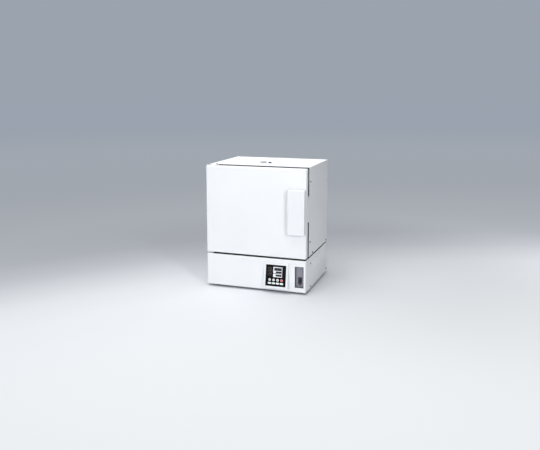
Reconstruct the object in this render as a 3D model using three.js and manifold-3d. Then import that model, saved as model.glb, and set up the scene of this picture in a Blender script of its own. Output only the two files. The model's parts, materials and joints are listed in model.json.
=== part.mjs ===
// Natural convection drying oven for a laboratory bench, in millimetres with +Z up.
// X runs to the right as seen from the front, and the door faces -Y.
// The origin is at the bottom centre, on the surface that the oven stands on.

import * as THREE from 'three';
import { mergeVertices } from 'three/addons/utils/BufferGeometryUtils.js';
import Module from 'manifold-3d';

const wasm = await Module();
wasm.setup();

// Overall sizes
const OVEN_WIDTH = 438;
const OVEN_DEPTH = 366; // from the door's face to the rear panel
const FOOT_HEIGHT = 9;
const BASE_HEIGHT = 135;
const SEAM_HEIGHT = 7; // shadow gap between the base and the cabinet
const CABINET_HEIGHT = 373;
const DOOR_STAND = 48; // from the door's face to the front of the cabinet
const DOOR_TOP_STEP = 3; // the door's top edge lies this much below the cabinet's

// Sheets, gaps and rounded edges that many pieces share
const SHEET = 1.2;
const STAINLESS = 1;
const FRAME_SHEET = 1.5;
const FIT = 0.3; // gap between pieces that touch
const WOOL_GAP = 0.8; // gap round mineral wool
const WRAP_RADIUS = 3;
const EDGE_RADIUS = 4;
const OVERRUN = 6; // how far a cut runs past what it cuts
const CORNER_STEPS = 2;
const ROUND_SIDES = 20;

// Chamber
const CHAMBER_SIDE = 69; // the cabinet's side to the chamber's mouth
const CHAMBER_HEAD = 43; // chamber ceiling below the cabinet's top
const CHAMBER_DEPTH = 262;
const CHAMBER_RISE = 40; // chamber floor above the underside of the cabinet
const CHAMBER_CORNER = 12;
const CHAMBER_FLANGE = 12;
const WOOL_TOP = 22;
const DAMPER_SPACE = 10; // between the exhaust tube and the cabinet's top sheet

// Heater and its cover
const HEATER_RADIUS = 4;
const HEATER_SIDES = 6;
const HEATER_RUNS = 8;
const HEATER_SIDE_ROOM = 45; // outermost runs from the chamber's walls
const HEATER_LIFT = 14;
const HEATER_FRONT_ROOM = 34;
const HEATER_TAIL = 16;
const BEND_STEPS = 6;
const COVER_LIFT = 28;
const COVER_SIDE_ROOM = 15;
const COVER_END_ROOM = 10;
const COVER_COLUMNS = 4;
const COVER_ROWS = 8;
const COVER_BRIDGE = 14.5; // metal left between two slots in a row
const COVER_SLOT_WIDTH = 7;
const COVER_BORDER = 18;

// Shelves and their racks
const RACK_LOW = 44; // above the chamber floor
const RACK_HEAD = 36; // below the chamber ceiling
const RACK_LEVELS = 5;
const RACK_POST = 14;
const RACK_RUNG = 6;
const RACK_LEDGE = 9;
const RACK_END_ROOM = 16;
const SHELF_LEVELS = [1, 3];
const SHELF_THICK = 4;
const SHELF_SIDE_ROOM = 1.5;
const SHELF_END_ROOM = 6;
const SHELF_FRAME = 5;
const SHELF_WIRE = 2.6;
const SHELF_WIRES = 11;

// Exhaust port and damper on the top
const PORT_X = -20;
const PORT_BEHIND_FACE = 166;
const PORT_RADIUS = 13;
const GRILLE_RADIUS = 15;
const GRILLE_THICK = 1.6;
const GRILLE_COLLAR = 3;
const GRILLE_WALL = 1.2;
const GRILLE_SLOTS = 5;
const GRILLE_SLOT_WIDTH = 2.4;
const GRILLE_SLOT_PITCH = 4.4;
const TUBE_RADIUS = 14;
const TUBE_FLANGE = 8;
const KNOB_X = 14.7;
const KNOB_BEHIND_FACE = 150.2;
const KNOB_RADIUS = 7;
const KNOB_HEIGHT = 3.7;
const KNOB_SKIRT = 1.2;
const KNOB_GRIP_WIDTH = 4;
const KNOB_GRIP_HEIGHT = 1.8;
const SHAFT_RADIUS = 3;
const SHAFT_IN_KNOB = 0.6;
const BLADE_THICK = 1.6;
const BLADE_RADIUS = 18;
const BLADE_ARM = 12;
const BLADE_HUB = 7;
const BLADE_HUB_HEIGHT = 4;

// Probes in the chamber's rear wall
const PROBE_RADIUS = 2.4;
const PROBE_LENGTH = 62;
const PROBE_TAIL = 14;
const PROBE_NUT = 7;
const PROBE_NUT_THICK = 4;
const PROBE_DROP = 24;
const SENSOR_X = 34;
const OVERHEAT_X = -34;

// Door
const DOOR_SHELL_DEPTH = 25;
const DOOR_CORNER = 4.5;
const DOOR_RETURN = 12;
const PANEL_INSET = 6;
const PAN_DEPTH = 9;
const PAN_MARGIN = 4;
const PLUG_GAP = 3;
const PLUG_MARGIN = 4;
const GASKET_CLEAR = 8; // from the chamber's mouth to the gasket
const GASKET_WIDTH = 16;

// Door hinges
const HINGE_X_INSET = 12; // pin axis from the door's left edge
const HINGE_PLATE = 2.4;
const HINGE_GAP = 0.5;
const HINGE_SIDE_INSET = 2;
const HINGE_UPPER_WIDTH = 37;
const HINGE_LOWER_WIDTH = 22;
const HINGE_FRONT_INSET = 4;
const HINGE_LEG = 34;
const HINGE_LEG_WIDTH = 21;
const PIN_RADIUS = 4;
const PIN_REACH = 20;
const PIN_HEAD_RADIUS = 6;
const PIN_HEAD = 1.2;
const BUSH_RADIUS = 7;
const BUSH_EXTRA = 2;

// Handle, its pin and the latch
const HANDLE_RISE = 195; // the handle's centre above the door's lower edge
const HANDLE_HEIGHT = 185;
const HANDLE_WIDTH = 72;
const HANDLE_REACH = 24; // the handle's face in front of the door's
const HANDLE_RIGHT_INSET = 1.5;
const HANDLE_DOOR_GAP = 4.5;
const HANDLE_WALL = 3;
const HANDLE_LIP = 8;
const HANDLE_EDGE = 2.5;
const HANDLE_CORNER = 5;
const HANDLE_PIN_INSET = 10; // pin axis from the handle's right side
const HANDLE_PIN_BACK = 9; // pin axis in front of the door's face
const HANDLE_PIN_RADIUS = 3;
const RIB_THICK = 4.5;
const RIB_GAP = 0.6;
const RIB_LENGTH = 14.5;
const SPRING_LENGTH = 15;
const SPRING_RADIUS = 5;
const SPRING_WIRE = 1.4;
const BRACKET_SHEET = 1.4;
const BRACKET_LEFT = 14;
const EAR_RADIUS = 6;
const EAR_SIDE = 5; // half the ear's width behind the pin, clear of the turning handle
const PIN_END = 1;
const LATCH_LIFT = 6; // the latch's centre above the handle's
const LATCH_HEIGHT = 104;
const LATCH_THICK = 6;
const LATCH_SKIN = 0.4; // the latch block lies this much inside the door's side
const LATCH_FRAME_GAP = 3;
const HUB_RADIUS = 5.5;
const NECK_WIDTH = 6;
const NECK_OFFSET = 4;
const CROSS_BEHIND_FACE = 5.5;
const TONGUE_HEIGHT = 40;
const TONGUE_THICK = 5.5;
const TONGUE_NOSE = 1.5;
const TONGUE_NOSE_LENGTH = 4;
const TONGUE_REACH = 10; // behind the cabinet's front
const STRIKE_ROOM = 1.2;
const STRIKE_WIDTH = 23;
const STRIKE_RIGHT_INSET = 5.5;
const STRIKE_END_ROOM = 2;
const STRIKE_DEPTH = 14;
const STRIKE_WALL = 2;
const NOTCH_WIDTH = 22;
const NOTCH_END_ROOM = 1.5;
const NOTCH_SKIN = 4; // the door's edge left in front of the notch
const NECK_SLOT_LEFT = 7.5;
const NECK_SLOT_RIGHT = 3.5;

// Base
const PAN_SHEET = 1.5;
const PAN_LIP = 14;
const FOOT_RADIUS = 15;
const FOOT_WAIST = 12;
const FOOT_CHAMFER = 2;
const FOOT_SIDE_INSET = 40;
const FOOT_END_INSET = 42;
const RIB_WIDTH = 30;
const RIB_SIDE_INSET = 69; // the rib's middle from the cabinet's side
const RIB_END_INSET = 36;
const LOUVRES = 5;
const LOUVRE_PITCH = 49;
const LOUVRE_FIRST_BEHIND_FACE = 108;
const LOUVRE_WIDTH = 18;
const LOUVRE_HEIGHT = 36;
const LOUVRE_REACH = 4;
const LOUVRE_BOTTOM = 77; // above the base's lower edge
const LOUVRE_WALL = 1.2;
const LOUVRE_STEPS = 3;
const VENT_SLOTS = 7;
const VENT_PITCH = 14;
const VENT_WIDTH = 5;
const VENT_HEIGHT = 46;
const VENT_X = 92;
const VENT_BOTTOM = 62;

// Controller
const CONTROLLER_RIGHT_INSET = 125; // its middle from the base's right side
const BEZEL_WIDTH = 106;
const BEZEL_HEIGHT = 106;
const BEZEL_BOTTOM = 14; // above the base's lower edge
const BEZEL_HEAD_REACH = 4;
const BEZEL_FOOT_REACH = 20;
const BEZEL_EDGE = 1.5;
const FACE_WIDTH = 87;
const FACE_HEIGHT = 88;
const FACE_THICK = 2.2;
const FACE_RECESS = 0.8;
const CUTOUT_ROOM = 4;
const CASE_WALL = 2;
const CASE_DEPTH = 46;
const WINDOW_RIGHT = 28.8; // right edge of all three windows, from the face's middle
const MAIN_WINDOW_WIDTH = 36.4;
const MAIN_WINDOW_HEIGHT = 7.2;
const MAIN_WINDOW_RISE = 27.4; // middle of the window above the face's middle
const SMALL_WINDOW_WIDTH = 28.2;
const SMALL_WINDOW_HEIGHT = 6;
const SMALL_WINDOW_RISE = 13.9;
const SMALL_WINDOW_PITCH = 13.2;
const LENS_ROOM = 1.6;
const LENS_THICK = 1.4;
const BOARD_WIDTH = 78;
const BOARD_HEIGHT = 78;
const BOARD_THICK = 1.6;
const BOARD_BEHIND_FACE = 14;
const BOARD_POST = 3;
const BOARD_POST_INSET = 5;
const SWITCH_SIZE = 7;
const SWITCH_ROOM = 1.2;
const KEY_NAMES = ['key_down', 'key_up', 'key_function', 'key_run'];
const KEY_PITCH = 17.2;
const KEY_DROP = 18; // below the face's centre
const KEY_RADIUS = 5.3;
const KEY_PROUD = 1;
const KEY_FLANGE = 1.2;
const KEY_FLANGE_THICK = 1;
const KEY_SIDES = 16;

// Breaker
const BREAKER_RIGHT_INSET = 28; // its middle from the base's right side
const BREAKER_WIDTH = 37.5;
const BREAKER_HEIGHT = 89.5;
const BREAKER_BOTTOM = 20.3; // above the base's lower edge
const BREAKER_RECESS = 14;
const BREAKER_FLANGE = 2;
const BREAKER_FLANGE_THICK = 3;
const BREAKER_DEPTH = 58;
const LEVER_TILT = 20; // degrees up from square, at rest
const LEVER_PIVOT_DEPTH = 20;
const LEVER_RISE = 27; // pivot above the breaker's lower end
const LEVER_REACH = 28;
const LEVER_WIDTH = 8.6;
const LEVER_THICK = 5;
const LEVER_HUB = 6;
const LEVER_GRIP_WIDTH = 12.8;
const LEVER_GRIP_LENGTH = 4.5;
const LEVER_GRIP_THICK = 8.5;
const LEVER_SLOT_HEIGHT = 21;
const TEST_WIDTH = 7;
const TEST_HEIGHT = 4.4;
const TEST_PROUD = 1.6;
const TEST_LENGTH = 8;
const TEST_DROP = 15.6; // below the lever's pivot, clear of the lever when it is down
const TEST_TRAVEL_ROOM = 2;

// Power pieces inside the base, and the mains inlet
const HEATSINK_X = -90;
const HEATSINK_BEHIND_FACE = 210;
const HEATSINK_WIDTH = 90;
const HEATSINK_LENGTH = 80;
const HEATSINK_PLATE = 6;
const HEATSINK_FIN = 2;
const HEATSINK_FINS = 10;
const HEATSINK_HEIGHT = 34;
const RELAY_WIDTH = 45;
const RELAY_LENGTH = 58;
const RELAY_HEIGHT = 22;
const RELAY_CHAMFER = 3;
const RELAY_TERMINAL = 6;
const TERMINAL_X = 60;
const TERMINAL_BEHIND_FACE = 290;
const TERMINAL_WIDTH = 84;
const TERMINAL_LENGTH = 26;
const TERMINAL_HEIGHT = 22;
const TERMINAL_WAYS = 6;
const TERMINAL_BARRIER = 2;
const TERMINAL_STEP = 9;
const GLAND_LEFT_INSET = 69;
const GLAND_RISE = 40;
const GLAND_REACH = 24;
const GLAND_THREAD = 8;
const GLAND_BORE = 4.5;
const GLAND_NUT = 13;
const GLAND_NUT_LENGTH = 7;
const GLAND_NECK = 9;
const GLAND_INSIDE = 12;
const HEX_SIDES = 6;

// Levels and planes that follow from the sizes
const halfWidth = OVEN_WIDTH / 2;
const halfChamber = halfWidth - CHAMBER_SIDE;
const controllerX = halfWidth - CONTROLLER_RIGHT_INSET;
const breakerMiddleX = halfWidth - BREAKER_RIGHT_INSET;
const glandX = GLAND_LEFT_INSET - halfWidth;
const faceY = -(OVEN_DEPTH + GLAND_REACH - HANDLE_REACH) / 2;
const rearY = faceY + OVEN_DEPTH;
const cabinetFrontY = faceY + DOOR_STAND;
const baseBottom = FOOT_HEIGHT;
const baseTop = baseBottom + BASE_HEIGHT;
const cabinetBottom = baseTop + SEAM_HEIGHT;
const cabinetTop = cabinetBottom + CABINET_HEIGHT;
const doorBottom = cabinetBottom;
const doorTop = cabinetTop - DOOR_TOP_STEP;
const innerX = halfWidth - SHEET - FIT; // what fits inside the side sheets
const rearInnerY = rearY - SHEET - FIT;
const frameBackY = cabinetFrontY + FRAME_SHEET;
const chamberFrontY = frameBackY + FIT;
const chamberRearY = chamberFrontY + CHAMBER_DEPTH;
const chamberFloor = cabinetBottom + CHAMBER_RISE;
const chamberCeiling = cabinetTop - CHAMBER_HEAD;
const woolTop = chamberCeiling + STAINLESS + WOOL_TOP;
const topInner = cabinetTop - SHEET;
const tubeTop = topInner - DAMPER_SPACE;
const portY = faceY + PORT_BEHIND_FACE;
const knobY = faceY + KNOB_BEHIND_FACE;

const oven = new THREE.Group();

// Finishes, one new material for each piece
const finish = (color, roughness, metalness) => () =>
  new THREE.MeshStandardMaterial({ color, roughness, metalness });
const whitePaint = finish(0xf2f5f8, 0.42, 0);
const stainless = finish(0xb9bcbf, 0.35, 1);
const zincSteel = finish(0xa6a9ac, 0.5, 1);
const aluminium = finish(0xc0c3c7, 0.4, 1);
const mineralWool = finish(0xd9cf9f, 0.95, 0);
const blackRubber = finish(0x1c1d1f, 0.85, 0);
const redSilicone = finish(0x2a2b2d, 0.7, 0);
const blackPlastic = finish(0x17191d, 0.4, 0);
const greyPlastic = finish(0x8f8f9a, 0.5, 0);
const smokedLens = finish(0x2b2e34, 0.15, 0);
const boardGreen = finish(0x2f6b3f, 0.6, 0);
const keyWhite = finish(0xf4f4f2, 0.5, 0);
const keyRed = finish(0xe58f92, 0.5, 0);
const testRed = finish(0x7a2026, 0.5, 0);
const heaterSteel = finish(0x6f6a66, 0.55, 1);
const brass = finish(0xb5924e, 0.4, 1);

// Turns a closed geometry into a solid that can be cut and joined
function solid(geometry) {
  const bare = geometry.clone();
  bare.deleteAttribute('normal');
  bare.deleteAttribute('uv');
  const merged = mergeVertices(bare);
  const index = merged.index.array;
  const triangles = [];
  for (let i = 0; i < index.length; i += 3) {
    const [a, b, c] = [index[i], index[i + 1], index[i + 2]];
    if (a !== b && b !== c && c !== a) triangles.push(a, b, c);
  }
  return new wasm.Manifold(new wasm.Mesh({
    numProp: 3,
    vertProperties: merged.attributes.position.array,
    triVerts: new Uint32Array(triangles),
  }));
}

// A solid with others joined to it, and one with others cut out of it
const joined = (body, others) => others.reduce((sum, other) => sum.add(other), body);
const pierced = (body, cuts) => cuts.reduce((rest, cut) => rest.subtract(cut), body);

// Adds a solid to the scene graph as a named mesh
function piece(name, body, material, parent = oven) {
  const { vertProperties, triVerts } = body.getMesh();
  const geometry = new THREE.BufferGeometry();
  geometry.setAttribute('position', new THREE.BufferAttribute(vertProperties, 3));
  geometry.setIndex(new THREE.BufferAttribute(triVerts, 1));
  geometry.computeVertexNormals();
  const mesh = new THREE.Mesh(geometry, material());
  mesh.name = name;
  parent.add(mesh);
  return mesh;
}

// A group at a place, turned about the X axis
function frameAt(x, y, z, tilt = 0, parent = oven) {
  const group = new THREE.Group();
  group.position.set(x, y, z);
  group.rotation.x = tilt;
  parent.add(group);
  return group;
}

// The two ends of a stretch round its middle
const about = (middle, length) => [middle - length / 2, middle + length / 2];

// A box between two ends on each axis
function block([x0, x1], [y0, y1], [z0, z1]) {
  const box = new THREE.BoxGeometry(x1 - x0, y1 - y0, z1 - z0);
  box.translate((x0 + x1) / 2, (y0 + y1) / 2, (z0 + z1) / 2);
  return solid(box);
}

// Where a shape's own axes and its extrusion point, for each direction of extrusion
const towardsX = new THREE.Matrix4().makeBasis(
  new THREE.Vector3(0, 1, 0), new THREE.Vector3(0, 0, 1), new THREE.Vector3(1, 0, 0));
const towardsY = new THREE.Matrix4().makeBasis(
  new THREE.Vector3(1, 0, 0), new THREE.Vector3(0, 0, 1), new THREE.Vector3(0, -1, 0));
const towardsZ = new THREE.Matrix4();

// Extrudes a shape from one plane to another, with an edge rounded by a radius
function extrude(shape, basis, length, edge) {
  const geometry = new THREE.ExtrudeGeometry(shape, {
    depth: length - 2 * edge,
    bevelEnabled: edge > 0,
    bevelThickness: edge,
    bevelSize: edge,
    bevelOffset: -edge,
    bevelSegments: CORNER_STEPS,
    curveSegments: CORNER_STEPS,
  });
  geometry.translate(0, 0, edge);
  geometry.applyMatrix4(basis);
  return geometry;
}

function alongX(shape, [from, to], edge = 0) {
  return solid(extrude(shape, towardsX, to - from, edge).translate(from, 0, 0));
}

function alongY(shape, [from, to], edge = 0) {
  return solid(extrude(shape, towardsY, to - from, edge).translate(0, to, 0));
}

function alongZ(shape, [from, to], edge = 0) {
  return solid(extrude(shape, towardsZ, to - from, edge).translate(0, 0, from));
}

// A closed outline through points
function outline(points) {
  return new THREE.Shape(points.map(([x, y]) => new THREE.Vector2(x, y)));
}

// A rectangle between two ends each way, with rounded corners
function rounded([x0, x1], [y0, y1], radius) {
  const shape = new THREE.Shape();
  shape.absarc(x1 - radius, y1 - radius, radius, 0, Math.PI / 2);
  shape.absarc(x0 + radius, y1 - radius, radius, Math.PI / 2, Math.PI);
  shape.absarc(x0 + radius, y0 + radius, radius, Math.PI, 3 * Math.PI / 2);
  shape.absarc(x1 - radius, y0 + radius, radius, 3 * Math.PI / 2, 2 * Math.PI);
  return shape;
}

// A round bar along an axis, at a place on the two other axes
function bar(radius, axis, [from, to], [p, q], sides = ROUND_SIDES) {
  const geometry = new THREE.CylinderGeometry(radius, radius, to - from, sides);
  const middle = (from + to) / 2;
  if (axis === 'x') geometry.rotateZ(-Math.PI / 2).translate(middle, p, q);
  if (axis === 'y') geometry.translate(p, middle, q);
  if (axis === 'z') geometry.rotateX(Math.PI / 2).translate(p, q, middle);
  return solid(geometry);
}

// A turned piece about the Z axis, from points that give radius and height
function turned(points, sides = ROUND_SIDES) {
  const profile = points.map(([radius, height]) => new THREE.Vector2(radius, height));
  return solid(new THREE.LatheGeometry(profile, sides).rotateX(Math.PI / 2));
}

// A sheet pan with rounded front edges, open at the back
function frontPan([z0, z1], depth, corner) {
  const front = [faceY, faceY + 2 * depth];
  const inside = [faceY + SHEET, faceY + 2 * depth];
  const outer = alongY(rounded([-halfWidth, halfWidth], [z0, z1], corner), front, EDGE_RADIUS);
  const hollow = alongY(
    rounded([SHEET - halfWidth, halfWidth - SHEET], [z0 + SHEET, z1 - SHEET], corner - SHEET),
    inside, EDGE_RADIUS - SHEET);
  const behind = block(
    [-halfWidth - OVERRUN, halfWidth + OVERRUN],
    [faceY + depth, faceY + 2 * depth + OVERRUN],
    [z0 - OVERRUN, z1 + OVERRUN]);
  return outer.subtract(hollow).subtract(behind);
}

// Cabinet covers
function cabinetCovers() {
  const wrap = new THREE.Shape();
  const bend = WRAP_RADIUS - SHEET;
  const topCorner = cabinetTop - WRAP_RADIUS;
  wrap.moveTo(-halfWidth, cabinetBottom);
  wrap.lineTo(SHEET - halfWidth, cabinetBottom);
  wrap.absarc(WRAP_RADIUS - halfWidth, topCorner, bend, Math.PI, Math.PI / 2, true);
  wrap.absarc(halfWidth - WRAP_RADIUS, topCorner, bend, Math.PI / 2, 0, true);
  wrap.lineTo(halfWidth - SHEET, cabinetBottom);
  wrap.lineTo(halfWidth, cabinetBottom);
  wrap.absarc(halfWidth - WRAP_RADIUS, topCorner, WRAP_RADIUS, 0, Math.PI / 2);
  wrap.absarc(WRAP_RADIUS - halfWidth, topCorner, WRAP_RADIUS, Math.PI / 2, Math.PI);
  const throughTop = [topInner - OVERRUN, cabinetTop + OVERRUN];
  piece('cabinet_wrap', alongY(wrap, [cabinetFrontY, rearY])
    .subtract(bar(PORT_RADIUS, 'z', throughTop, [PORT_X, portY]))
    .subtract(bar(SHAFT_RADIUS + FIT, 'z', throughTop, [KNOB_X, knobY])), whitePaint);

  const sides = [-innerX, innerX];
  piece('cabinet_rear_panel', alongY(
    rounded(sides, [cabinetBottom, topInner - FIT], bend), [rearY - SHEET, rearY]), whitePaint);

  const floor = block(sides, [frameBackY + FIT, rearInnerY],
    [cabinetBottom, cabinetBottom + FRAME_SHEET]);
  const ribEnds = [frameBackY + RIB_END_INSET, rearY - RIB_END_INSET];
  const ribHeight = [baseTop + FIT, cabinetBottom + FRAME_SHEET];
  const ribX = halfWidth - RIB_SIDE_INSET;
  const ribs = [-ribX, ribX].map((x) => block(about(x, RIB_WIDTH), ribEnds, ribHeight));
  piece('cabinet_floor', floor.add(ribs[0]).add(ribs[1]), whitePaint);
}

// The chamber's mouth as a flat outline, grown by a margin all round
function mouth(margin) {
  return rounded([-halfChamber - margin, halfChamber + margin],
    [chamberFloor - margin, chamberCeiling + margin], CHAMBER_CORNER + margin);
}

// Where the latch and its strike lie
const handleCentre = doorBottom + HANDLE_RISE;
const latchCentre = handleCentre + LATCH_LIFT;
const strikeRight = halfWidth - STRIKE_RIGHT_INSET;
const strikeX = [strikeRight - STRIKE_WIDTH, strikeRight];
const strikeZ = about(latchCentre, TONGUE_HEIGHT + 2 * STRIKE_END_ROOM);

function frontFrame() {
  const frame = rounded([-innerX, innerX], [cabinetBottom, topInner - FIT], WRAP_RADIUS - SHEET);
  const through = [cabinetFrontY - OVERRUN, frameBackY + OVERRUN];
  piece('front_frame', alongY(frame, [cabinetFrontY, frameBackY])
    .subtract(alongY(mouth(0), through))
    .subtract(block(strikeX, through, strikeZ)), whitePaint);

  const grown = ([low, high], margin) => [low - margin, high + margin];
  const wallX = grown(strikeX, STRIKE_WALL);
  const wallZ = grown(strikeZ, STRIKE_WALL);
  const depth = [frameBackY + FIT, frameBackY + FIT + STRIKE_DEPTH];
  const pocket = block(strikeX, [frameBackY - OVERRUN, depth[1] - STRIKE_WALL], strikeZ);
  piece('latch_striker', block(wallX, depth, wallZ).subtract(pocket), zincSteel);
  return block(grown(wallX, FIT), [cabinetFrontY, depth[1] + FIT], grown(wallZ, FIT));
}

// The rear wall's holes: probes and the heater's two ends
const probeZ = chamberCeiling - PROBE_DROP;
const heaterZ = chamberFloor + HEATER_LIFT;
const heaterEndX = halfChamber - HEATER_SIDE_ROOM;
const heaterPitch = 2 * heaterEndX / (HEATER_RUNS - 1);
const rearHoles = [
  [SENSOR_X, probeZ, PROBE_RADIUS],
  [OVERHEAT_X, probeZ, PROBE_RADIUS],
  [-heaterEndX, heaterZ, HEATER_RADIUS],
  [heaterEndX, heaterZ, HEATER_RADIUS],
];

function chamberAndWool(strikePocket) {
  const rearOuterY = chamberRearY + STAINLESS;
  let chamber = alongY(mouth(STAINLESS), [chamberFrontY, rearOuterY])
    .add(alongY(mouth(STAINLESS + CHAMBER_FLANGE), [chamberFrontY, chamberFrontY + STAINLESS]))
    .subtract(alongY(mouth(0), [chamberFrontY - OVERRUN, chamberRearY]));
  const throughCeiling = [chamberCeiling - OVERRUN, chamberCeiling + OVERRUN];
  chamber = chamber.subtract(bar(TUBE_RADIUS + FIT, 'z', throughCeiling, [PORT_X, portY]));
  const throughRear = [chamberRearY - OVERRUN, chamberRearY + OVERRUN];
  for (const [x, z, radius] of rearHoles) {
    chamber = chamber.subtract(bar(radius + FIT, 'y', throughRear, [x, z]));
  }
  piece('inner_chamber', chamber, stainless);

  const woolX = halfWidth - SHEET - WOOL_GAP;
  const woolFrontY = chamberFrontY + STAINLESS + FIT;
  const woolRearY = rearY - SHEET - WOOL_GAP;
  let wool = block([-woolX, woolX], [woolFrontY, woolRearY],
    [cabinetBottom + FRAME_SHEET + FIT, woolTop]);
  wool = wool.subtract(alongY(mouth(STAINLESS + FIT), [woolFrontY - OVERRUN, rearOuterY + FIT]));
  wool = wool.subtract(bar(TUBE_RADIUS + FIT, 'z',
    [chamberCeiling - OVERRUN, woolTop + OVERRUN], [PORT_X, portY]));
  for (const [x, z, radius] of rearHoles) {
    wool = wool.subtract(bar(radius + FIT, 'y', [chamberRearY, woolRearY + OVERRUN], [x, z]));
  }
  piece('chamber_insulation', wool.subtract(strikePocket), mineralWool);
}

// A route for a tube, with one ring of the tube at each station
class Route extends THREE.Curve {
  constructor(stations) {
    super();
    this.stations = stations;
  }

  station(u) {
    return this.stations[Math.round(u * (this.stations.length - 1))];
  }

  getPoint(u, target = new THREE.Vector3()) {
    return target.copy(this.station(u).point);
  }

  getTangentAt(u, target = new THREE.Vector3()) {
    return target.copy(this.station(u).tangent);
  }

  getSpacedPoints() {
    return this.stations.map(({ point }) => point.clone());
  }
}

// The heater runs to and fro under the chamber, and both its ends leave at the rear
function heater() {
  const rear = chamberRearY + STAINLESS + HEATER_TAIL;
  const bendRadius = heaterPitch / 2;
  const turnFront = chamberFrontY + HEATER_FRONT_ROOM + bendRadius;
  const turnRear = chamberRearY - HEATER_FRONT_ROOM / 2 - bendRadius;
  const stations = [];
  const put = (x, y, dx, dy) => stations.push({
    point: new THREE.Vector3(x, y, heaterZ),
    tangent: new THREE.Vector3(dx, dy, 0),
  });
  put(-heaterEndX, rear, 0, -1);
  for (let run = 0; run < HEATER_RUNS - 1; run += 1) {
    const middleX = -heaterEndX + (run + 0.5) * heaterPitch;
    const forwards = run % 2 === 0;
    const turnY = forwards ? turnFront : turnRear;
    const side = forwards ? -1 : 1;
    for (let step = 0; step <= BEND_STEPS; step += 1) {
      const angle = Math.PI * step / BEND_STEPS;
      put(middleX - bendRadius * Math.cos(angle), turnY + side * bendRadius * Math.sin(angle),
        Math.sin(angle), side * Math.cos(angle));
    }
  }
  put(heaterEndX, rear, 0, 1);
  const ring = [];
  for (let side = 0; side < HEATER_SIDES; side += 1) {
    const angle = 2 * Math.PI * side / HEATER_SIDES;
    ring.push([HEATER_RADIUS * Math.cos(angle), HEATER_RADIUS * Math.sin(angle)]);
  }
  const tube = new THREE.ExtrudeGeometry(outline(ring), {
    steps: stations.length - 1,
    extrudePath: new Route(stations),
  });
  piece('heater_element', solid(tube), heaterSteel);

  const coverX = halfChamber - COVER_SIDE_ROOM;
  const coverY = [chamberFrontY + COVER_END_ROOM, chamberRearY - COVER_END_ROOM];
  const coverZ = chamberFloor + COVER_LIFT;
  const slotZ = [coverZ - OVERRUN, coverZ + OVERRUN];
  const slots = [];
  const columnPitch = (2 * coverX - 2 * COVER_BORDER) / COVER_COLUMNS;
  const rowPitch = (coverY[1] - coverY[0] - 2 * COVER_BORDER) / COVER_ROWS;
  for (let column = 0; column < COVER_COLUMNS; column += 1) {
    for (let row = 0; row < COVER_ROWS; row += 1) {
      const x = COVER_BORDER - coverX + (column + 0.5) * columnPitch;
      const y = coverY[0] + COVER_BORDER + (row + 0.5) * rowPitch;
      slots.push(block(about(x, columnPitch - COVER_BRIDGE), about(y, COVER_SLOT_WIDTH), slotZ));
    }
  }
  const legZ = [chamberFloor + FIT, coverZ + STAINLESS];
  const cover = joined(block([-coverX, coverX], coverY, [coverZ, coverZ + STAINLESS]), [
    block([-coverX, STAINLESS - coverX], coverY, legZ),
    block([coverX - STAINLESS, coverX], coverY, legZ),
  ]);
  piece('heater_cover', pierced(cover, slots), stainless);
}

const rackBottom = chamberFloor + RACK_LOW;
const rackTop = chamberCeiling - RACK_HEAD;
const rackPitch = (rackTop - rackBottom) / RACK_LEVELS;
const ledgeZ = (level) => rackBottom + (level + 0.5) * rackPitch;

// A ladder of sheet on the chamber's side wall, with a ledge at each rung
function rack(name, side) {
  const y = [chamberFrontY + RACK_END_ROOM, chamberRearY - RACK_END_ROOM];
  const ordered = (a, b) => [Math.min(a, b), Math.max(a, b)];
  const wall = side * (halfChamber - FIT);
  const inner = wall - side * STAINLESS;
  const ledgeX = ordered(wall, inner - side * RACK_LEDGE);
  const ledges = [];
  const spaces = [];
  for (let level = 0; level < RACK_LEVELS; level += 1) {
    ledges.push(block(ledgeX, y, [ledgeZ(level) - STAINLESS, ledgeZ(level)]));
    if (level > 0) {
      spaces.push(block(about(wall, 2 * RACK_LEDGE),
        [y[0] + RACK_POST, y[1] - RACK_POST],
        [ledgeZ(level - 1) + RACK_RUNG, ledgeZ(level) - RACK_RUNG]));
    }
  }
  const ladder = block(ordered(wall, inner), y, [rackBottom, rackTop]);
  piece(name, joined(pierced(ladder, spaces), ledges), stainless);
}

// A wire shelf on a pair of ledges
function shelf(name, level) {
  const x = halfChamber - FIT - STAINLESS - SHELF_SIDE_ROOM;
  const y = [chamberFrontY + SHELF_END_ROOM, chamberRearY - SHELF_END_ROOM];
  const bottom = ledgeZ(level) + FIT;
  const z = [bottom, bottom + SHELF_THICK];
  const pitch = (2 * x - SHELF_FRAME) / (SHELF_WIRES + 1);
  const middle = (y[0] + y[1]) / 2;
  const spaces = [];
  for (let gap = 0; gap <= SHELF_WIRES; gap += 1) {
    const width = about(SHELF_FRAME / 2 - x + (gap + 0.5) * pitch, pitch - SHELF_WIRE);
    const beyond = [z[0] - OVERRUN, z[1] + OVERRUN];
    spaces.push(block(width, [y[0] + SHELF_FRAME, middle - SHELF_FRAME / 2], beyond));
    spaces.push(block(width, [middle + SHELF_FRAME / 2, y[1] - SHELF_FRAME], beyond));
  }
  piece(name, pierced(block([-x, x], y, z), spaces), stainless);
}

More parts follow.
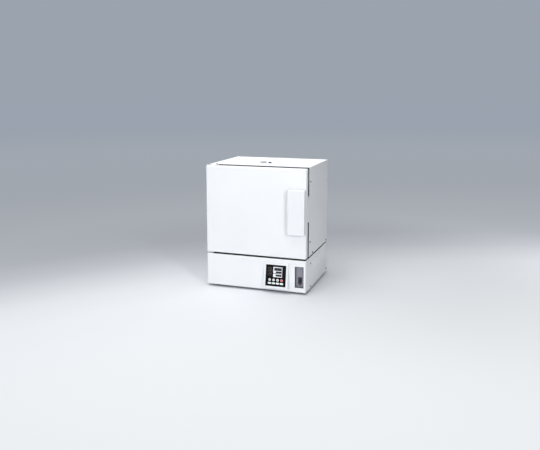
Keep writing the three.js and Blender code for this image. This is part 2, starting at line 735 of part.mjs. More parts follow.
// The exhaust duct, its grille, the damper and the damper's knob
function exhaust() {
  const axis = [PORT_X, portY];
  const flange = bar(TUBE_RADIUS + TUBE_FLANGE, 'z',
    [chamberCeiling - FIT - STAINLESS, chamberCeiling - FIT], axis);
  const bore = bar(TUBE_RADIUS - STAINLESS, 'z',
    [chamberCeiling - OVERRUN, tubeTop + OVERRUN], axis);
  piece('exhaust_tube', bar(TUBE_RADIUS, 'z', [chamberCeiling - FIT - STAINLESS, tubeTop], axis)
    .add(flange).subtract(bore), stainless);

  const capBottom = cabinetTop + FIT;
  const collarRadius = PORT_RADIUS - FIT;
  const collarEnd = topInner - GRILLE_COLLAR;
  let grille = bar(GRILLE_RADIUS, 'z', [capBottom, capBottom + GRILLE_THICK], axis)
    .add(bar(collarRadius, 'z', [collarEnd, capBottom + GRILLE_THICK], axis))
    .subtract(bar(collarRadius - GRILLE_WALL, 'z', [collarEnd - OVERRUN, capBottom], axis));
  for (let slot = 0; slot < GRILLE_SLOTS; slot += 1) {
    const offset = (slot - (GRILLE_SLOTS - 1) / 2) * GRILLE_SLOT_PITCH;
    const reach = collarRadius - GRILLE_WALL - GRILLE_SLOT_WIDTH;
    const chord = 2 * Math.sqrt(reach ** 2 - offset ** 2);
    grille = grille.subtract(block(about(PORT_X + offset, GRILLE_SLOT_WIDTH),
      about(portY, chord), [capBottom - OVERRUN, capBottom + OVERRUN]));
  }
  piece('exhaust_grille', grille, zincSteel);

  const damper = frameAt(KNOB_X, knobY, cabinetTop);
  const toPort = new THREE.Vector2(PORT_X - KNOB_X, portY - knobY);
  const bladeMiddle = -SHEET - DAMPER_SPACE / 2;
  const bladeZ = about(bladeMiddle, BLADE_THICK);
  const across = new THREE.Vector2(-toPort.y, toPort.x).setLength(BLADE_ARM / 2);
  const arm = outline([
    [across.x, across.y],
    [toPort.x + across.x, toPort.y + across.y],
    [toPort.x - across.x, toPort.y - across.y],
    [-across.x, -across.y],
  ]);
  const shaftTop = FIT + KNOB_SKIRT + SHAFT_IN_KNOB;
  piece('damper_blade', alongZ(arm, bladeZ)
    .add(bar(BLADE_RADIUS, 'z', bladeZ, [toPort.x, toPort.y]))
    .add(bar(BLADE_HUB, 'z', about(bladeMiddle, BLADE_HUB_HEIGHT), [0, 0]))
    .add(bar(SHAFT_RADIUS, 'z', [bladeMiddle, shaftTop], [0, 0])), zincSteel, damper);

  const knobTop = FIT + KNOB_HEIGHT;
  const skirtTop = FIT + KNOB_SKIRT;
  const grip = block([-KNOB_RADIUS + FIT, KNOB_RADIUS - FIT], about(0, KNOB_GRIP_WIDTH),
    [knobTop - KNOB_SKIRT, knobTop + KNOB_GRIP_HEIGHT - KNOB_SKIRT]);
  piece('damper_knob', bar(KNOB_RADIUS + FIT, 'z', [FIT, skirtTop], [0, 0])
    .add(bar(KNOB_RADIUS - FIT, 'z', [FIT, knobTop - KNOB_SKIRT / 2], [0, 0]))
    .add(grip)
    .subtract(bar(SHAFT_RADIUS + FIT, 'z', [-OVERRUN, shaftTop + FIT], [0, 0])),
  blackPlastic, damper);
}

// A probe through the chamber's rear wall, with its nut against the wall
function probe(name, x) {
  const holder = frameAt(x, chamberRearY - FIT, probeZ);
  piece(name, bar(PROBE_RADIUS, 'y', [-PROBE_LENGTH, PROBE_TAIL], [0, 0], BEND_STEPS * 2)
    .add(bar(PROBE_NUT, 'y', [-PROBE_NUT_THICK, 0], [0, 0], HEX_SIDES)), stainless, holder);
}

// The planes inside the door, and where its hinge pins stand
const shellBackY = faceY + DOOR_SHELL_DEPTH;
const panBackY = shellBackY + FIT + PAN_DEPTH;
const hingeX = HINGE_X_INSET - halfWidth;
const hingeY = faceY + DOOR_SHELL_DEPTH / 2;

// One hinge: its plate and leg on the cabinet, its pin, and the bush in the door
function hinge(which, edge, outwards, width) {
  const level = (distance) => edge + outwards * distance;
  const between = (a, b) => [Math.min(level(a), level(b)), Math.max(level(a), level(b))];
  const left = HINGE_SIDE_INSET - halfWidth;
  const plateEnds = [HINGE_GAP, HINGE_GAP + HINGE_PLATE];
  const legY = [cabinetFrontY - FIT - HINGE_PLATE, cabinetFrontY - FIT];
  const plate = block([left, left + width], [faceY + HINGE_FRONT_INSET, legY[1]],
    between(...plateEnds));
  const leg = block([left, left + HINGE_LEG_WIDTH], legY, between(-HINGE_LEG, plateEnds[1]));
  const hole = bar(PIN_RADIUS + FIT, 'z', between(-OVERRUN, OVERRUN), [hingeX, hingeY]);
  piece(`hinge_bracket_${which}`, plate.add(leg).subtract(hole), whitePaint);

  const headStart = plateEnds[1] + FIT;
  piece(`hinge_pin_${which}`, bar(PIN_RADIUS, 'z', between(-PIN_REACH, headStart), [hingeX, hingeY])
    .add(bar(PIN_HEAD_RADIUS, 'z', between(headStart, headStart + PIN_HEAD), [hingeX, hingeY])),
  zincSteel);

  const bushEnds = between(-PIN_REACH - BUSH_EXTRA, 0);
  piece(`door_bush_${which}`, bar(BUSH_RADIUS, 'z', bushEnds, [hingeX, hingeY])
    .subtract(bar(PIN_RADIUS + FIT, 'z', between(-PIN_REACH - OVERRUN, OVERRUN),
      [hingeX, hingeY])), brass);
}

// The notch in the door's right edge that the latch arm works in
const notchZ = about(latchCentre, LATCH_HEIGHT + 2 * NOTCH_END_ROOM);
const notchX = [halfWidth - NOTCH_WIDTH, halfWidth + OVERRUN];
const handleRight = halfWidth - HANDLE_RIGHT_INSET;
const handlePinX = handleRight - HANDLE_PIN_INSET;
const handlePinY = faceY - HANDLE_PIN_BACK;
const neckSlotX = [handlePinX - NECK_SLOT_LEFT, handlePinX + NECK_SLOT_RIGHT];
const gasketReach = GASKET_CLEAR + GASKET_WIDTH;

function door() {
  const bushRoom = bar(BUSH_RADIUS + FIT, 'z', [doorTop - PIN_REACH - BUSH_EXTRA - FIT,
    doorTop + OVERRUN], [hingeX, hingeY])
    .add(bar(BUSH_RADIUS + FIT, 'z', [doorBottom - OVERRUN,
      doorBottom + PIN_REACH + BUSH_EXTRA + FIT], [hingeX, hingeY]));
  const notch = block(notchX, [faceY + NOTCH_SKIN, shellBackY + OVERRUN], notchZ);
  const neckSlot = block(neckSlotX, [faceY - OVERRUN, faceY + NOTCH_SKIN + OVERRUN], notchZ);
  const pocketZ = [notchZ[0] - SHEET, notchZ[1] + SHEET];
  const pocket = block([notchX[0] - SHEET, halfWidth - SHEET / 2],
    [faceY + SHEET / 2, shellBackY - SHEET / 2], pocketZ);
  const back = block([SHEET / 2 - halfWidth, halfWidth - SHEET / 2],
    [shellBackY - SHEET, shellBackY], [doorBottom + SHEET / 2, doorTop - SHEET / 2])
    .subtract(block([DOOR_RETURN - halfWidth, halfWidth - DOOR_RETURN],
      [shellBackY - OVERRUN, shellBackY + OVERRUN],
      [doorBottom + DOOR_RETURN, doorTop - DOOR_RETURN]));
  piece('door_outer_shell', frontPan([doorBottom, doorTop], DOOR_SHELL_DEPTH, DOOR_CORNER)
    .add(back).add(pocket).subtract(notch).subtract(neckSlot).subtract(bushRoom), whitePaint);

  const panMargin = gasketReach + PAN_MARGIN;
  const plugMargin = GASKET_CLEAR - PLUG_MARGIN;
  const plugBackY = cabinetFrontY - PLUG_GAP;
  const panFrontY = shellBackY + FIT;
  const flange = block([PANEL_INSET - halfWidth, halfWidth - PANEL_INSET],
    [panFrontY, panFrontY + STAINLESS], [doorBottom + PANEL_INSET, doorTop - PANEL_INSET]);
  const stamped = (margin, rear) => alongY(mouth(margin), [panFrontY, rear]);
  const hollow = (margin, rear) => alongY(mouth(margin - STAINLESS),
    [panFrontY - OVERRUN, rear - STAINLESS]);
  const flangeNotch = block([notchX[0] - SHEET - FIT, notchX[1]],
    [panFrontY - OVERRUN, panFrontY + OVERRUN], [pocketZ[0] - FIT, pocketZ[1] + FIT]);
  piece('door_inner_panel', flange
    .add(stamped(panMargin, panBackY))
    .add(stamped(plugMargin, plugBackY))
    .subtract(hollow(panMargin, panBackY))
    .subtract(hollow(plugMargin, plugBackY))
    .subtract(flangeNotch), stainless);

  const woolX = halfWidth - SHEET - WOOL_GAP;
  const woolEdge = SHEET + WOOL_GAP;
  const wool = alongY(
    rounded([-woolX, woolX], [doorBottom + woolEdge, doorTop - woolEdge], DOOR_CORNER - SHEET),
    [faceY + SHEET + FIT, shellBackY - SHEET - FIT], EDGE_RADIUS - SHEET)
    .add(alongY(mouth(panMargin - STAINLESS - WOOL_GAP),
      [shellBackY - SHEET - OVERRUN, panBackY - STAINLESS - FIT]));
  const pocketRoom = block([notchX[0] - SHEET - FIT, notchX[1]],
    [faceY, shellBackY + OVERRUN], [pocketZ[0] - FIT, pocketZ[1] + FIT]);
  piece('door_insulation', wool.subtract(pocketRoom).subtract(bushRoom), mineralWool);

  piece('door_gasket', alongY(mouth(gasketReach), [panBackY + FIT, cabinetFrontY - FIT])
    .subtract(alongY(mouth(GASKET_CLEAR), [panBackY, cabinetFrontY])), redSilicone);
}

// The handle's stack along its pin: ears of the bracket outside, ribs of the handle inside them
const ribInner = LATCH_HEIGHT / 2 + RIB_GAP;
const ribOuter = ribInner + RIB_THICK;
const upperEar = [latchCentre + ribOuter + RIB_GAP, latchCentre + ribOuter + RIB_GAP + RIB_THICK];
const lowerEarTop = latchCentre - ribOuter - SPRING_LENGTH - 2 * RIB_GAP;
const lowerEar = [lowerEarTop - RIB_THICK, lowerEarTop];

function handle() {
  const pinAxis = [handlePinX, handlePinY];
  const pinRoom = bar(HANDLE_PIN_RADIUS + FIT, 'z',
    [lowerEar[0] - OVERRUN, upperEar[1] + OVERRUN], pinAxis);

  const plateY = [faceY - FIT - BRACKET_SHEET, faceY - FIT];
  const plateX = [handlePinX - BRACKET_LEFT, handlePinX + EAR_RADIUS];
  const bracketEar = (z) => bar(EAR_RADIUS, 'z', z, pinAxis)
    .add(block([handlePinX - EAR_SIDE, handlePinX + EAR_SIDE], [handlePinY, plateY[1]], z));
  piece('handle_bracket', block(plateX, plateY, [lowerEar[0], upperEar[1]])
    .subtract(block(neckSlotX, [plateY[0] - OVERRUN, plateY[1] + OVERRUN], notchZ))
    .add(bracketEar(lowerEar)).add(bracketEar(upperEar)).subtract(pinRoom), zincSteel);

  piece('handle_pin', bar(HANDLE_PIN_RADIUS, 'z',
    [lowerEar[0] - PIN_END, upperEar[1] + PIN_END], pinAxis), zincSteel);

  const springZ = [lowerEar[1] + RIB_GAP, lowerEar[1] + RIB_GAP + SPRING_LENGTH];
  piece('handle_spring', bar(SPRING_RADIUS, 'z', springZ, pinAxis)
    .subtract(bar(SPRING_RADIUS - SPRING_WIRE, 'z',
      [springZ[0] - OVERRUN, springZ[1] + OVERRUN], pinAxis)), zincSteel);

  const x = [handleRight - HANDLE_WIDTH, handleRight];
  const z = about(handleCentre, HANDLE_HEIGHT);
  const front = faceY - HANDLE_REACH;
  const back = faceY - HANDLE_DOOR_GAP;
  const beyond = front + 2 * (back - front);
  const cover = alongY(rounded(x, z, HANDLE_CORNER), [front, beyond], HANDLE_EDGE)
    .subtract(block([x[0] - OVERRUN, x[1] + OVERRUN], [back, beyond + OVERRUN],
      [z[0] - OVERRUN, z[1] + OVERRUN]));
  const hollow = block([x[0] + HANDLE_WALL, x[1] - HANDLE_WALL],
    [front + HANDLE_WALL, back + OVERRUN], [z[0] + HANDLE_WALL, z[1] - HANDLE_WALL]);
  const grip = block([x[0] - OVERRUN, x[0] + HANDLE_WALL + OVERRUN],
    [front + HANDLE_LIP, back + OVERRUN], [z[0] + HANDLE_WALL, z[1] - HANDLE_WALL]);
  const ribX = [x[1] - HANDLE_WALL / 2 - RIB_LENGTH, x[1] - HANDLE_WALL / 2];
  const ribY = [front + HANDLE_WALL / 2, back];
  const rib = (low) => block(ribX, ribY, [low, low + RIB_THICK]);
  piece('handle_paddle', cover.subtract(hollow).subtract(grip)
    .add(rib(latchCentre + ribInner)).add(rib(latchCentre - ribOuter))
    .subtract(pinRoom), whitePaint);
}

// The latch arm: a hub on the handle's pin, a neck through the door's face, a block that closes
// the notch in the door's edge, and a tongue that enters the strike
function latchArm() {
  const armZ = about(latchCentre, LATCH_HEIGHT);
  const outerX = halfWidth - LATCH_SKIN;
  const crossY = faceY + CROSS_BEHIND_FACE;
  const crossBackY = crossY + LATCH_THICK;
  const blockEndY = cabinetFrontY - LATCH_FRAME_GAP;
  const neckLeft = handlePinX - NECK_OFFSET;
  const neckRight = neckLeft + NECK_WIDTH;
  const plan = outline([
    [neckLeft, handlePinY],
    [neckRight, handlePinY],
    [neckRight, crossY],
    [outerX, crossY],
    [outerX, blockEndY],
    [outerX - LATCH_THICK, blockEndY],
    [outerX - LATCH_THICK, crossBackY],
    [neckLeft, crossBackY],
  ]);
  const tongueRight = strikeRight - STRIKE_ROOM - TONGUE_NOSE;
  const tongueEndY = cabinetFrontY + TONGUE_REACH;
  const tongueZ = about(latchCentre, TONGUE_HEIGHT);
  const tongue = outline([
    [tongueRight - TONGUE_THICK, crossY],
    [tongueRight, crossY],
    [tongueRight, tongueEndY - TONGUE_NOSE_LENGTH],
    [tongueRight + TONGUE_NOSE, tongueEndY - TONGUE_NOSE_LENGTH],
    [tongueRight + TONGUE_NOSE, tongueEndY - TONGUE_NOSE],
    [tongueRight, tongueEndY],
    [tongueRight - TONGUE_THICK, tongueEndY],
  ]);
  const pinRoom = bar(HANDLE_PIN_RADIUS + FIT, 'z', [armZ[0] - OVERRUN, armZ[1] + OVERRUN],
    [handlePinX, handlePinY]);
  piece('latch_arm', bar(HUB_RADIUS, 'z', armZ, [handlePinX, handlePinY])
    .add(alongZ(plan, armZ)).add(alongZ(tongue, tongueZ)).subtract(pinRoom), whitePaint);
}

// Where the controller and the breaker sit in the base's front
const bezelZ = [baseBottom + BEZEL_BOTTOM, baseBottom + BEZEL_BOTTOM + BEZEL_HEIGHT];
const bezelMiddle = baseBottom + BEZEL_BOTTOM + BEZEL_HEIGHT / 2;
const breakerZ = [baseBottom + BREAKER_BOTTOM, baseBottom + BREAKER_BOTTOM + BREAKER_HEIGHT];

function baseCovers() {
  const cutoutX = about(controllerX, FACE_WIDTH + CUTOUT_ROOM);
  const cutoutZ = about(bezelMiddle - CUTOUT_ROOM / 2, FACE_HEIGHT + CUTOUT_ROOM);
  const through = [faceY - OVERRUN, faceY + EDGE_RADIUS + OVERRUN];
  const breakerX = about(breakerMiddleX, BREAKER_WIDTH);
  const grown = ([low, high], margin) => [low - margin, high + margin];
  const tunnel = block(grown(breakerX, SHEET), [faceY + SHEET / 2, faceY + BREAKER_RECESS],
    grown(breakerZ, SHEET));
  const openBottom = block([SHEET - halfWidth, halfWidth - SHEET], [faceY + SHEET, rearY],
    [baseBottom - OVERRUN, baseBottom + EDGE_RADIUS]);
  piece('base_front_panel', frontPan([baseBottom, baseTop], DOOR_STAND, DOOR_CORNER)
    .add(tunnel)
    .subtract(openBottom)
    .subtract(block(cutoutX, through, cutoutZ))
    .subtract(block(breakerX, [faceY - OVERRUN, faceY + BREAKER_RECESS + OVERRUN], breakerZ)),
  whitePaint);

  piece('base_top_plate', block([-innerX, innerX], [cabinetFrontY + FIT, rearInnerY],
    [baseTop - SHEET, baseTop]), whitePaint);

  const throughRear = [rearY - OVERRUN, rearY + OVERRUN];
  const vents = [];
  for (const side of [-1, 1]) {
    for (let slot = 0; slot < VENT_SLOTS; slot += 1) {
      const x = side * VENT_X + (slot - (VENT_SLOTS - 1) / 2) * VENT_PITCH;
      const bottom = baseBottom + VENT_BOTTOM;
      vents.push(block(about(x, VENT_WIDTH), throughRear, [bottom, bottom + VENT_HEIGHT]));
    }
  }
  const rearPanel = block([-innerX, innerX], [rearY - SHEET, rearY], [baseBottom, baseTop]);
  piece('base_rear_panel', pierced(rearPanel, vents)
    .subtract(bar(GLAND_THREAD + FIT, 'y', throughRear, [glandX, baseBottom + GLAND_RISE])),
  whitePaint);

  const panX = innerX;
  const panY = [faceY + EDGE_RADIUS + FIT, rearInnerY];
  piece('base_pan', block([-panX, panX], panY, [baseBottom, baseBottom + PAN_LIP])
    .subtract(block([PAN_SHEET - panX, panX - PAN_SHEET],
      [panY[0] + PAN_SHEET, panY[1] - PAN_SHEET],
      [baseBottom + PAN_SHEET, baseBottom + PAN_LIP + OVERRUN])), zincSteel);
}

// A louvre's outline from above: it swells towards the rear and stays open there
function louvre(outside, y0, grow, extend) {
  const points = [[outside - LOUVRE_WALL, y0]];
  for (let step = 0; step <= LOUVRE_STEPS; step += 1) {
    const share = step / LOUVRE_STEPS;
    points.push([outside + (LOUVRE_REACH + grow) * Math.sin(share * Math.PI / 2),
      y0 + share * LOUVRE_WIDTH]);
  }
  points.push([outside + LOUVRE_REACH + grow, y0 + LOUVRE_WIDTH + extend]);
  points.push([outside - LOUVRE_WALL, y0 + LOUVRE_WIDTH + extend]);
  return points;
}

function sideCover(name, side) {
  const outer = halfWidth;
  let cover = block([outer - SHEET, outer], [cabinetFrontY + FIT, rearY], [baseBottom, baseTop]);
  const z = [baseBottom + LOUVRE_BOTTOM, baseBottom + LOUVRE_BOTTOM + LOUVRE_HEIGHT];
  for (let index = 0; index < LOUVRES; index += 1) {
    const y0 = faceY + LOUVRE_FIRST_BEHIND_FACE + index * LOUVRE_PITCH;
    const hood = alongZ(outline(louvre(outer, y0, 0, 0)), z);
    const hollow = alongZ(outline(louvre(outer, y0 + LOUVRE_WALL, -LOUVRE_WALL, OVERRUN)
      .map(([x, y]) => [Math.max(x, outer - SHEET - OVERRUN), y])),
    [z[0] + LOUVRE_WALL, z[1] - LOUVRE_WALL]);
    cover = cover.add(hood).subtract(hollow);
  }
  const mesh = piece(name, cover, whitePaint);
  if (side < 0) mesh.geometry = mirrored(mesh.geometry);
}

// The same geometry on the other side of the oven, with its faces still outwards
function mirrored(geometry) {
  const copy = geometry.clone().scale(-1, 1, 1);
  const index = copy.index.array;
  for (let i = 0; i < index.length; i += 3) {
    [index[i], index[i + 1]] = [index[i + 1], index[i]];
  }
  copy.computeVertexNormals();
  return copy;
}

function foot(name, x, y) {
  piece(name, turned([
    [0, 0],
    [FOOT_RADIUS - FOOT_CHAMFER, 0],
    [FOOT_RADIUS, FOOT_CHAMFER],
    [FOOT_WAIST, FOOT_HEIGHT - FIT],
    [0, FOOT_HEIGHT - FIT],
  ]), blackRubber, frameAt(x, y, 0));
}

// The controller leans back, so everything in it is placed in a frame that leans with its face:
// X across the face, Y into it and Z up it, from the middle of the bezel's front
function controller() {
  const lean = Math.atan2(BEZEL_FOOT_REACH - BEZEL_HEAD_REACH, BEZEL_HEIGHT);
  const middleReach = (BEZEL_FOOT_REACH + BEZEL_HEAD_REACH) / 2;
  const frame = frameAt(controllerX, faceY - middleReach, bezelMiddle, -lean);
  const leaning = (y, z) => [
    y * Math.cos(lean) - z * Math.sin(lean),
    y * Math.sin(lean) + z * Math.cos(lean),
  ];
  const half = BEZEL_HEIGHT / 2;
  const bezel = outline([
    leaning(middleReach - BEZEL_FOOT_REACH, -half),
    leaning(middleReach - FIT, -half),
    leaning(middleReach - FIT, half),
    leaning(middleReach - BEZEL_HEAD_REACH, half),
  ]);
  const openX = about(0, FACE_WIDTH + 2 * FIT);
  const openZ = about(0, FACE_HEIGHT + 2 * FIT);
  piece('controller_bezel', alongX(bezel, about(0, BEZEL_WIDTH), BEZEL_EDGE)
    .subtract(block(openX, [-OVERRUN, BEZEL_FOOT_REACH + OVERRUN], openZ)), whitePaint, frame);

  const faceBack = FACE_RECESS + FACE_THICK;
  const firstKey = -KEY_PITCH * (KEY_NAMES.length - 1) / 2;
  const through = [FACE_RECESS - OVERRUN, faceBack + OVERRUN];
  const mainZ = about(MAIN_WINDOW_RISE, MAIN_WINDOW_HEIGHT);
  const middleZ = about(SMALL_WINDOW_RISE, SMALL_WINDOW_HEIGHT);
  const lowerZ = about(SMALL_WINDOW_RISE - SMALL_WINDOW_PITCH, SMALL_WINDOW_HEIGHT);
  const smallX = [WINDOW_RIGHT - SMALL_WINDOW_WIDTH, WINDOW_RIGHT];
  let face = pierced(block(about(0, FACE_WIDTH), [FACE_RECESS, faceBack], about(0, FACE_HEIGHT)), [
    block([WINDOW_RIGHT - MAIN_WINDOW_WIDTH, WINDOW_RIGHT], through, mainZ),
    block(smallX, through, middleZ),
    block(smallX, through, lowerZ),
  ]);
  KEY_NAMES.forEach((name, index) => {
    const x = firstKey + index * KEY_PITCH;
    face = face.subtract(bar(KEY_RADIUS + FIT, 'y', through, [x, -KEY_DROP], KEY_SIDES));
    const keyFrame = frameAt(x, 0, -KEY_DROP, 0, frame);
    const flangeY = [faceBack + FIT, faceBack + FIT + KEY_FLANGE_THICK];
    piece(name, bar(KEY_RADIUS, 'y', [FACE_RECESS - KEY_PROUD, flangeY[1]], [0, 0], KEY_SIDES)
      .add(bar(KEY_RADIUS + KEY_FLANGE, 'y', flangeY, [0, 0], KEY_SIDES)),
    name === 'key_run' ? keyRed : keyWhite, keyFrame);
  });
  piece('controller_face', face, blackPlastic, frame);

  piece('display_lens', block(
    [WINDOW_RIGHT - MAIN_WINDOW_WIDTH - LENS_ROOM, WINDOW_RIGHT + LENS_ROOM],
    [faceBack + FIT, faceBack + FIT + LENS_THICK],
    [lowerZ[0] - LENS_ROOM, mainZ[1] + LENS_ROOM]), smokedLens, frame);

  const caseY = [faceBack + FIT, faceBack + FIT + CASE_DEPTH];
  piece('controller_case', block(about(0, FACE_WIDTH), caseY, about(0, FACE_HEIGHT))
    .subtract(block(about(0, FACE_WIDTH - 2 * CASE_WALL),
      [caseY[0] - OVERRUN, caseY[1] - CASE_WALL], about(0, FACE_HEIGHT - 2 * CASE_WALL))),
  blackPlastic, frame);

  const boardY = FACE_RECESS + BOARD_BEHIND_FACE;
  const keyTravelEnd = faceBack + FIT + KEY_FLANGE_THICK + SWITCH_ROOM;
  let board = block(about(0, BOARD_WIDTH), [boardY, boardY + BOARD_THICK], about(0, BOARD_HEIGHT));
  for (const sideX of [-1, 1]) {
    for (const sideZ of [-1, 1]) {
      board = board.add(bar(BOARD_POST, 'y', [faceBack + FIT, boardY + BOARD_THICK],
        [sideX * (BOARD_WIDTH / 2 - BOARD_POST_INSET), sideZ * (BOARD_HEIGHT / 2 - BOARD_POST_INSET)],
        BEND_STEPS * 2));
    }
  }
  KEY_NAMES.forEach((name, index) => {
    board = board.add(block(about(firstKey + index * KEY_PITCH, SWITCH_SIZE),
      [keyTravelEnd, boardY + BOARD_THICK], about(-KEY_DROP, SWITCH_SIZE)));
  });
  piece('controller_board', board, boardGreen, frame);
}

// The breaker behind its recess: X across, Y into it and Z up, from the middle of its front plate
function breaker() {
  const frame = frameAt(breakerMiddleX, faceY + BREAKER_RECESS + FIT, (breakerZ[0] + breakerZ[1]) / 2);
  const pivotZ = LEVER_RISE - BREAKER_HEIGHT / 2;
  const testZ = pivotZ - TEST_DROP;
  const flange = block(about(0, BREAKER_WIDTH + 2 * BREAKER_FLANGE), [0, BREAKER_FLANGE_THICK],
    about(0, BREAKER_HEIGHT + 2 * BREAKER_FLANGE));
  const core = block(about(0, BREAKER_WIDTH), [0, BREAKER_DEPTH], about(0, BREAKER_HEIGHT));
  const slot = block(about(0, LEVER_WIDTH + 2 * FIT), [-OVERRUN, LEVER_PIVOT_DEPTH],
    about(pivotZ, LEVER_SLOT_HEIGHT));
  const hubRoom = bar(LEVER_HUB + FIT, 'x', about(0, LEVER_WIDTH + 2 * FIT),
    [LEVER_PIVOT_DEPTH, pivotZ]);
  const testRoom = block(about(0, TEST_WIDTH + 2 * FIT),
    [-OVERRUN, TEST_LENGTH + TEST_TRAVEL_ROOM], about(testZ, TEST_HEIGHT + 2 * FIT));
  piece('breaker_body', flange.add(core).subtract(slot).subtract(hubRoom)
    .subtract(testRoom), greyPlastic, frame);

  piece('breaker_test_button', block(about(0, TEST_WIDTH),
    [-TEST_PROUD, TEST_LENGTH], about(testZ, TEST_HEIGHT)), testRed, frame);

  const lever = frameAt(0, LEVER_PIVOT_DEPTH, pivotZ, -THREE.MathUtils.degToRad(LEVER_TILT), frame);
  const gripY = [-LEVER_REACH, LEVER_GRIP_LENGTH - LEVER_REACH];
  piece('breaker_lever', bar(LEVER_HUB, 'x', about(0, LEVER_WIDTH), [0, 0])
    .add(block(about(0, LEVER_WIDTH), [-LEVER_REACH, 0], about(0, LEVER_THICK)))
    .add(block(about(0, LEVER_GRIP_WIDTH), gripY, about(0, LEVER_GRIP_THICK))),
  blackPlastic, lever);
}

// The relay on its heat sink, the terminals and the mains inlet
function powerPieces() {
  const floor = baseBottom + PAN_SHEET + FIT;
  const sink = frameAt(HEATSINK_X, faceY + HEATSINK_BEHIND_FACE, floor);
  const finBottom = HEATSINK_HEIGHT - HEATSINK_PLATE;
  const pitch = (HEATSINK_WIDTH - HEATSINK_FIN) / (HEATSINK_FINS - 1);
  const comb = [[-HEATSINK_WIDTH / 2, HEATSINK_HEIGHT]];
  for (let fin = 0; fin < HEATSINK_FINS; fin += 1) {
    const left = fin * pitch - HEATSINK_WIDTH / 2;
    if (fin > 0) comb.push([left, finBottom]);
    comb.push([left, 0], [left + HEATSINK_FIN, 0]);
    if (fin < HEATSINK_FINS - 1) comb.push([left + HEATSINK_FIN, finBottom]);
  }
  comb.push([HEATSINK_WIDTH / 2, HEATSINK_HEIGHT]);
  piece('relay_heatsink', alongY(outline(comb), about(0, HEATSINK_LENGTH)), aluminium, sink);

  const relayBottom = HEATSINK_HEIGHT + FIT;
  const relay = alongY(outline([
    [-RELAY_WIDTH / 2, relayBottom],
    [RELAY_WIDTH / 2, relayBottom],
    [RELAY_WIDTH / 2, relayBottom + RELAY_HEIGHT - RELAY_CHAMFER],
    [RELAY_WIDTH / 2 - RELAY_CHAMFER, relayBottom + RELAY_HEIGHT],
    [RELAY_CHAMFER - RELAY_WIDTH / 2, relayBottom + RELAY_HEIGHT],
    [-RELAY_WIDTH / 2, relayBottom + RELAY_HEIGHT - RELAY_CHAMFER],
  ]), about(0, RELAY_LENGTH));
  const terminals = [-1, 1].flatMap((sideX) => [-1, 1].map((sideY) => bar(RELAY_TERMINAL / 2, 'z',
    [relayBottom + RELAY_HEIGHT / 2, relayBottom + RELAY_HEIGHT + RELAY_CHAMFER],
    [sideX * RELAY_WIDTH / 4, sideY * (RELAY_LENGTH / 2 - RELAY_TERMINAL)], HEX_SIDES)));
  piece('solid_state_relay', joined(relay, terminals), blackPlastic, sink);

  const strip = frameAt(TERMINAL_X, faceY + TERMINAL_BEHIND_FACE, floor);
  let block6 = block(about(0, TERMINAL_WIDTH), about(0, TERMINAL_LENGTH), [0, TERMINAL_HEIGHT]);
  const way = (TERMINAL_WIDTH - TERMINAL_BARRIER) / TERMINAL_WAYS;
  for (let index = 0; index < TERMINAL_WAYS; index += 1) {
    const left = TERMINAL_BARRIER - TERMINAL_WIDTH / 2 + index * way;
    for (const side of [-1, 1]) {
      block6 = block6.subtract(block([left, left + way - TERMINAL_BARRIER],
        about(side * TERMINAL_LENGTH / 2, TERMINAL_LENGTH - TERMINAL_STEP),
        [TERMINAL_HEIGHT - TERMINAL_STEP, TERMINAL_HEIGHT + OVERRUN]));
    }
  }
  piece('terminal_block', block6, blackPlastic, strip);

  const nutY = [rearY + FIT, rearY + FIT + GLAND_NUT_LENGTH];
  const axis = [glandX, baseBottom + GLAND_RISE];
  const lockY = [rearY - SHEET - FIT - GLAND_NUT_LENGTH / 2, rearY - SHEET - FIT];
  piece('cable_gland', bar(GLAND_THREAD, 'y', [rearY - GLAND_INSIDE, nutY[1]], axis)
    .add(bar(GLAND_NUT, 'y', nutY, axis, HEX_SIDES))
    .add(bar(GLAND_NECK, 'y', [nutY[0], rearY + GLAND_REACH], axis))
    .add(bar(GLAND_NUT, 'y', lockY, axis, HEX_SIDES))
    .subtract(bar(GLAND_BORE, 'y', [rearY - GLAND_INSIDE - OVERRUN, rearY + GLAND_REACH + OVERRUN],
      axis)), blackPlastic);
}

cabinetCovers();
chamberAndWool(frontFrame());
heater();
rack('shelf_rack_left', -1);
rack('shelf_rack_right', 1);
shelf('shelf_lower', SHELF_LEVELS[0]);
shelf('shelf_upper', SHELF_LEVELS[1]);
exhaust();
probe('temperature_sensor', SENSOR_X);
probe('overheat_sensor', OVERHEAT_X);
hinge('upper', doorTop, 1, HINGE_UPPER_WIDTH);
hinge('lower', doorBottom, -1, HINGE_LOWER_WIDTH);
door();
handle();
latchArm();
baseCovers();
sideCover('base_side_left', -1);
sideCover('base_side_right', 1);
for (const [end, y] of [['front', faceY + FOOT_END_INSET], ['rear', rearY - FOOT_END_INSET]]) {
  foot(`foot_${end}_left`, FOOT_SIDE_INSET - halfWidth, y);
  foot(`foot_${end}_right`, halfWidth - FOOT_SIDE_INSET, y);
}
controller();
breaker();
powerPieces();

export default oven;
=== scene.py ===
"""The looks of a natural convection laboratory oven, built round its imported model."""

import json
import random
from math import atan2, cos, pi, radians, sin, sqrt, tau

import bmesh
import bpy
from mathutils import Matrix, Vector


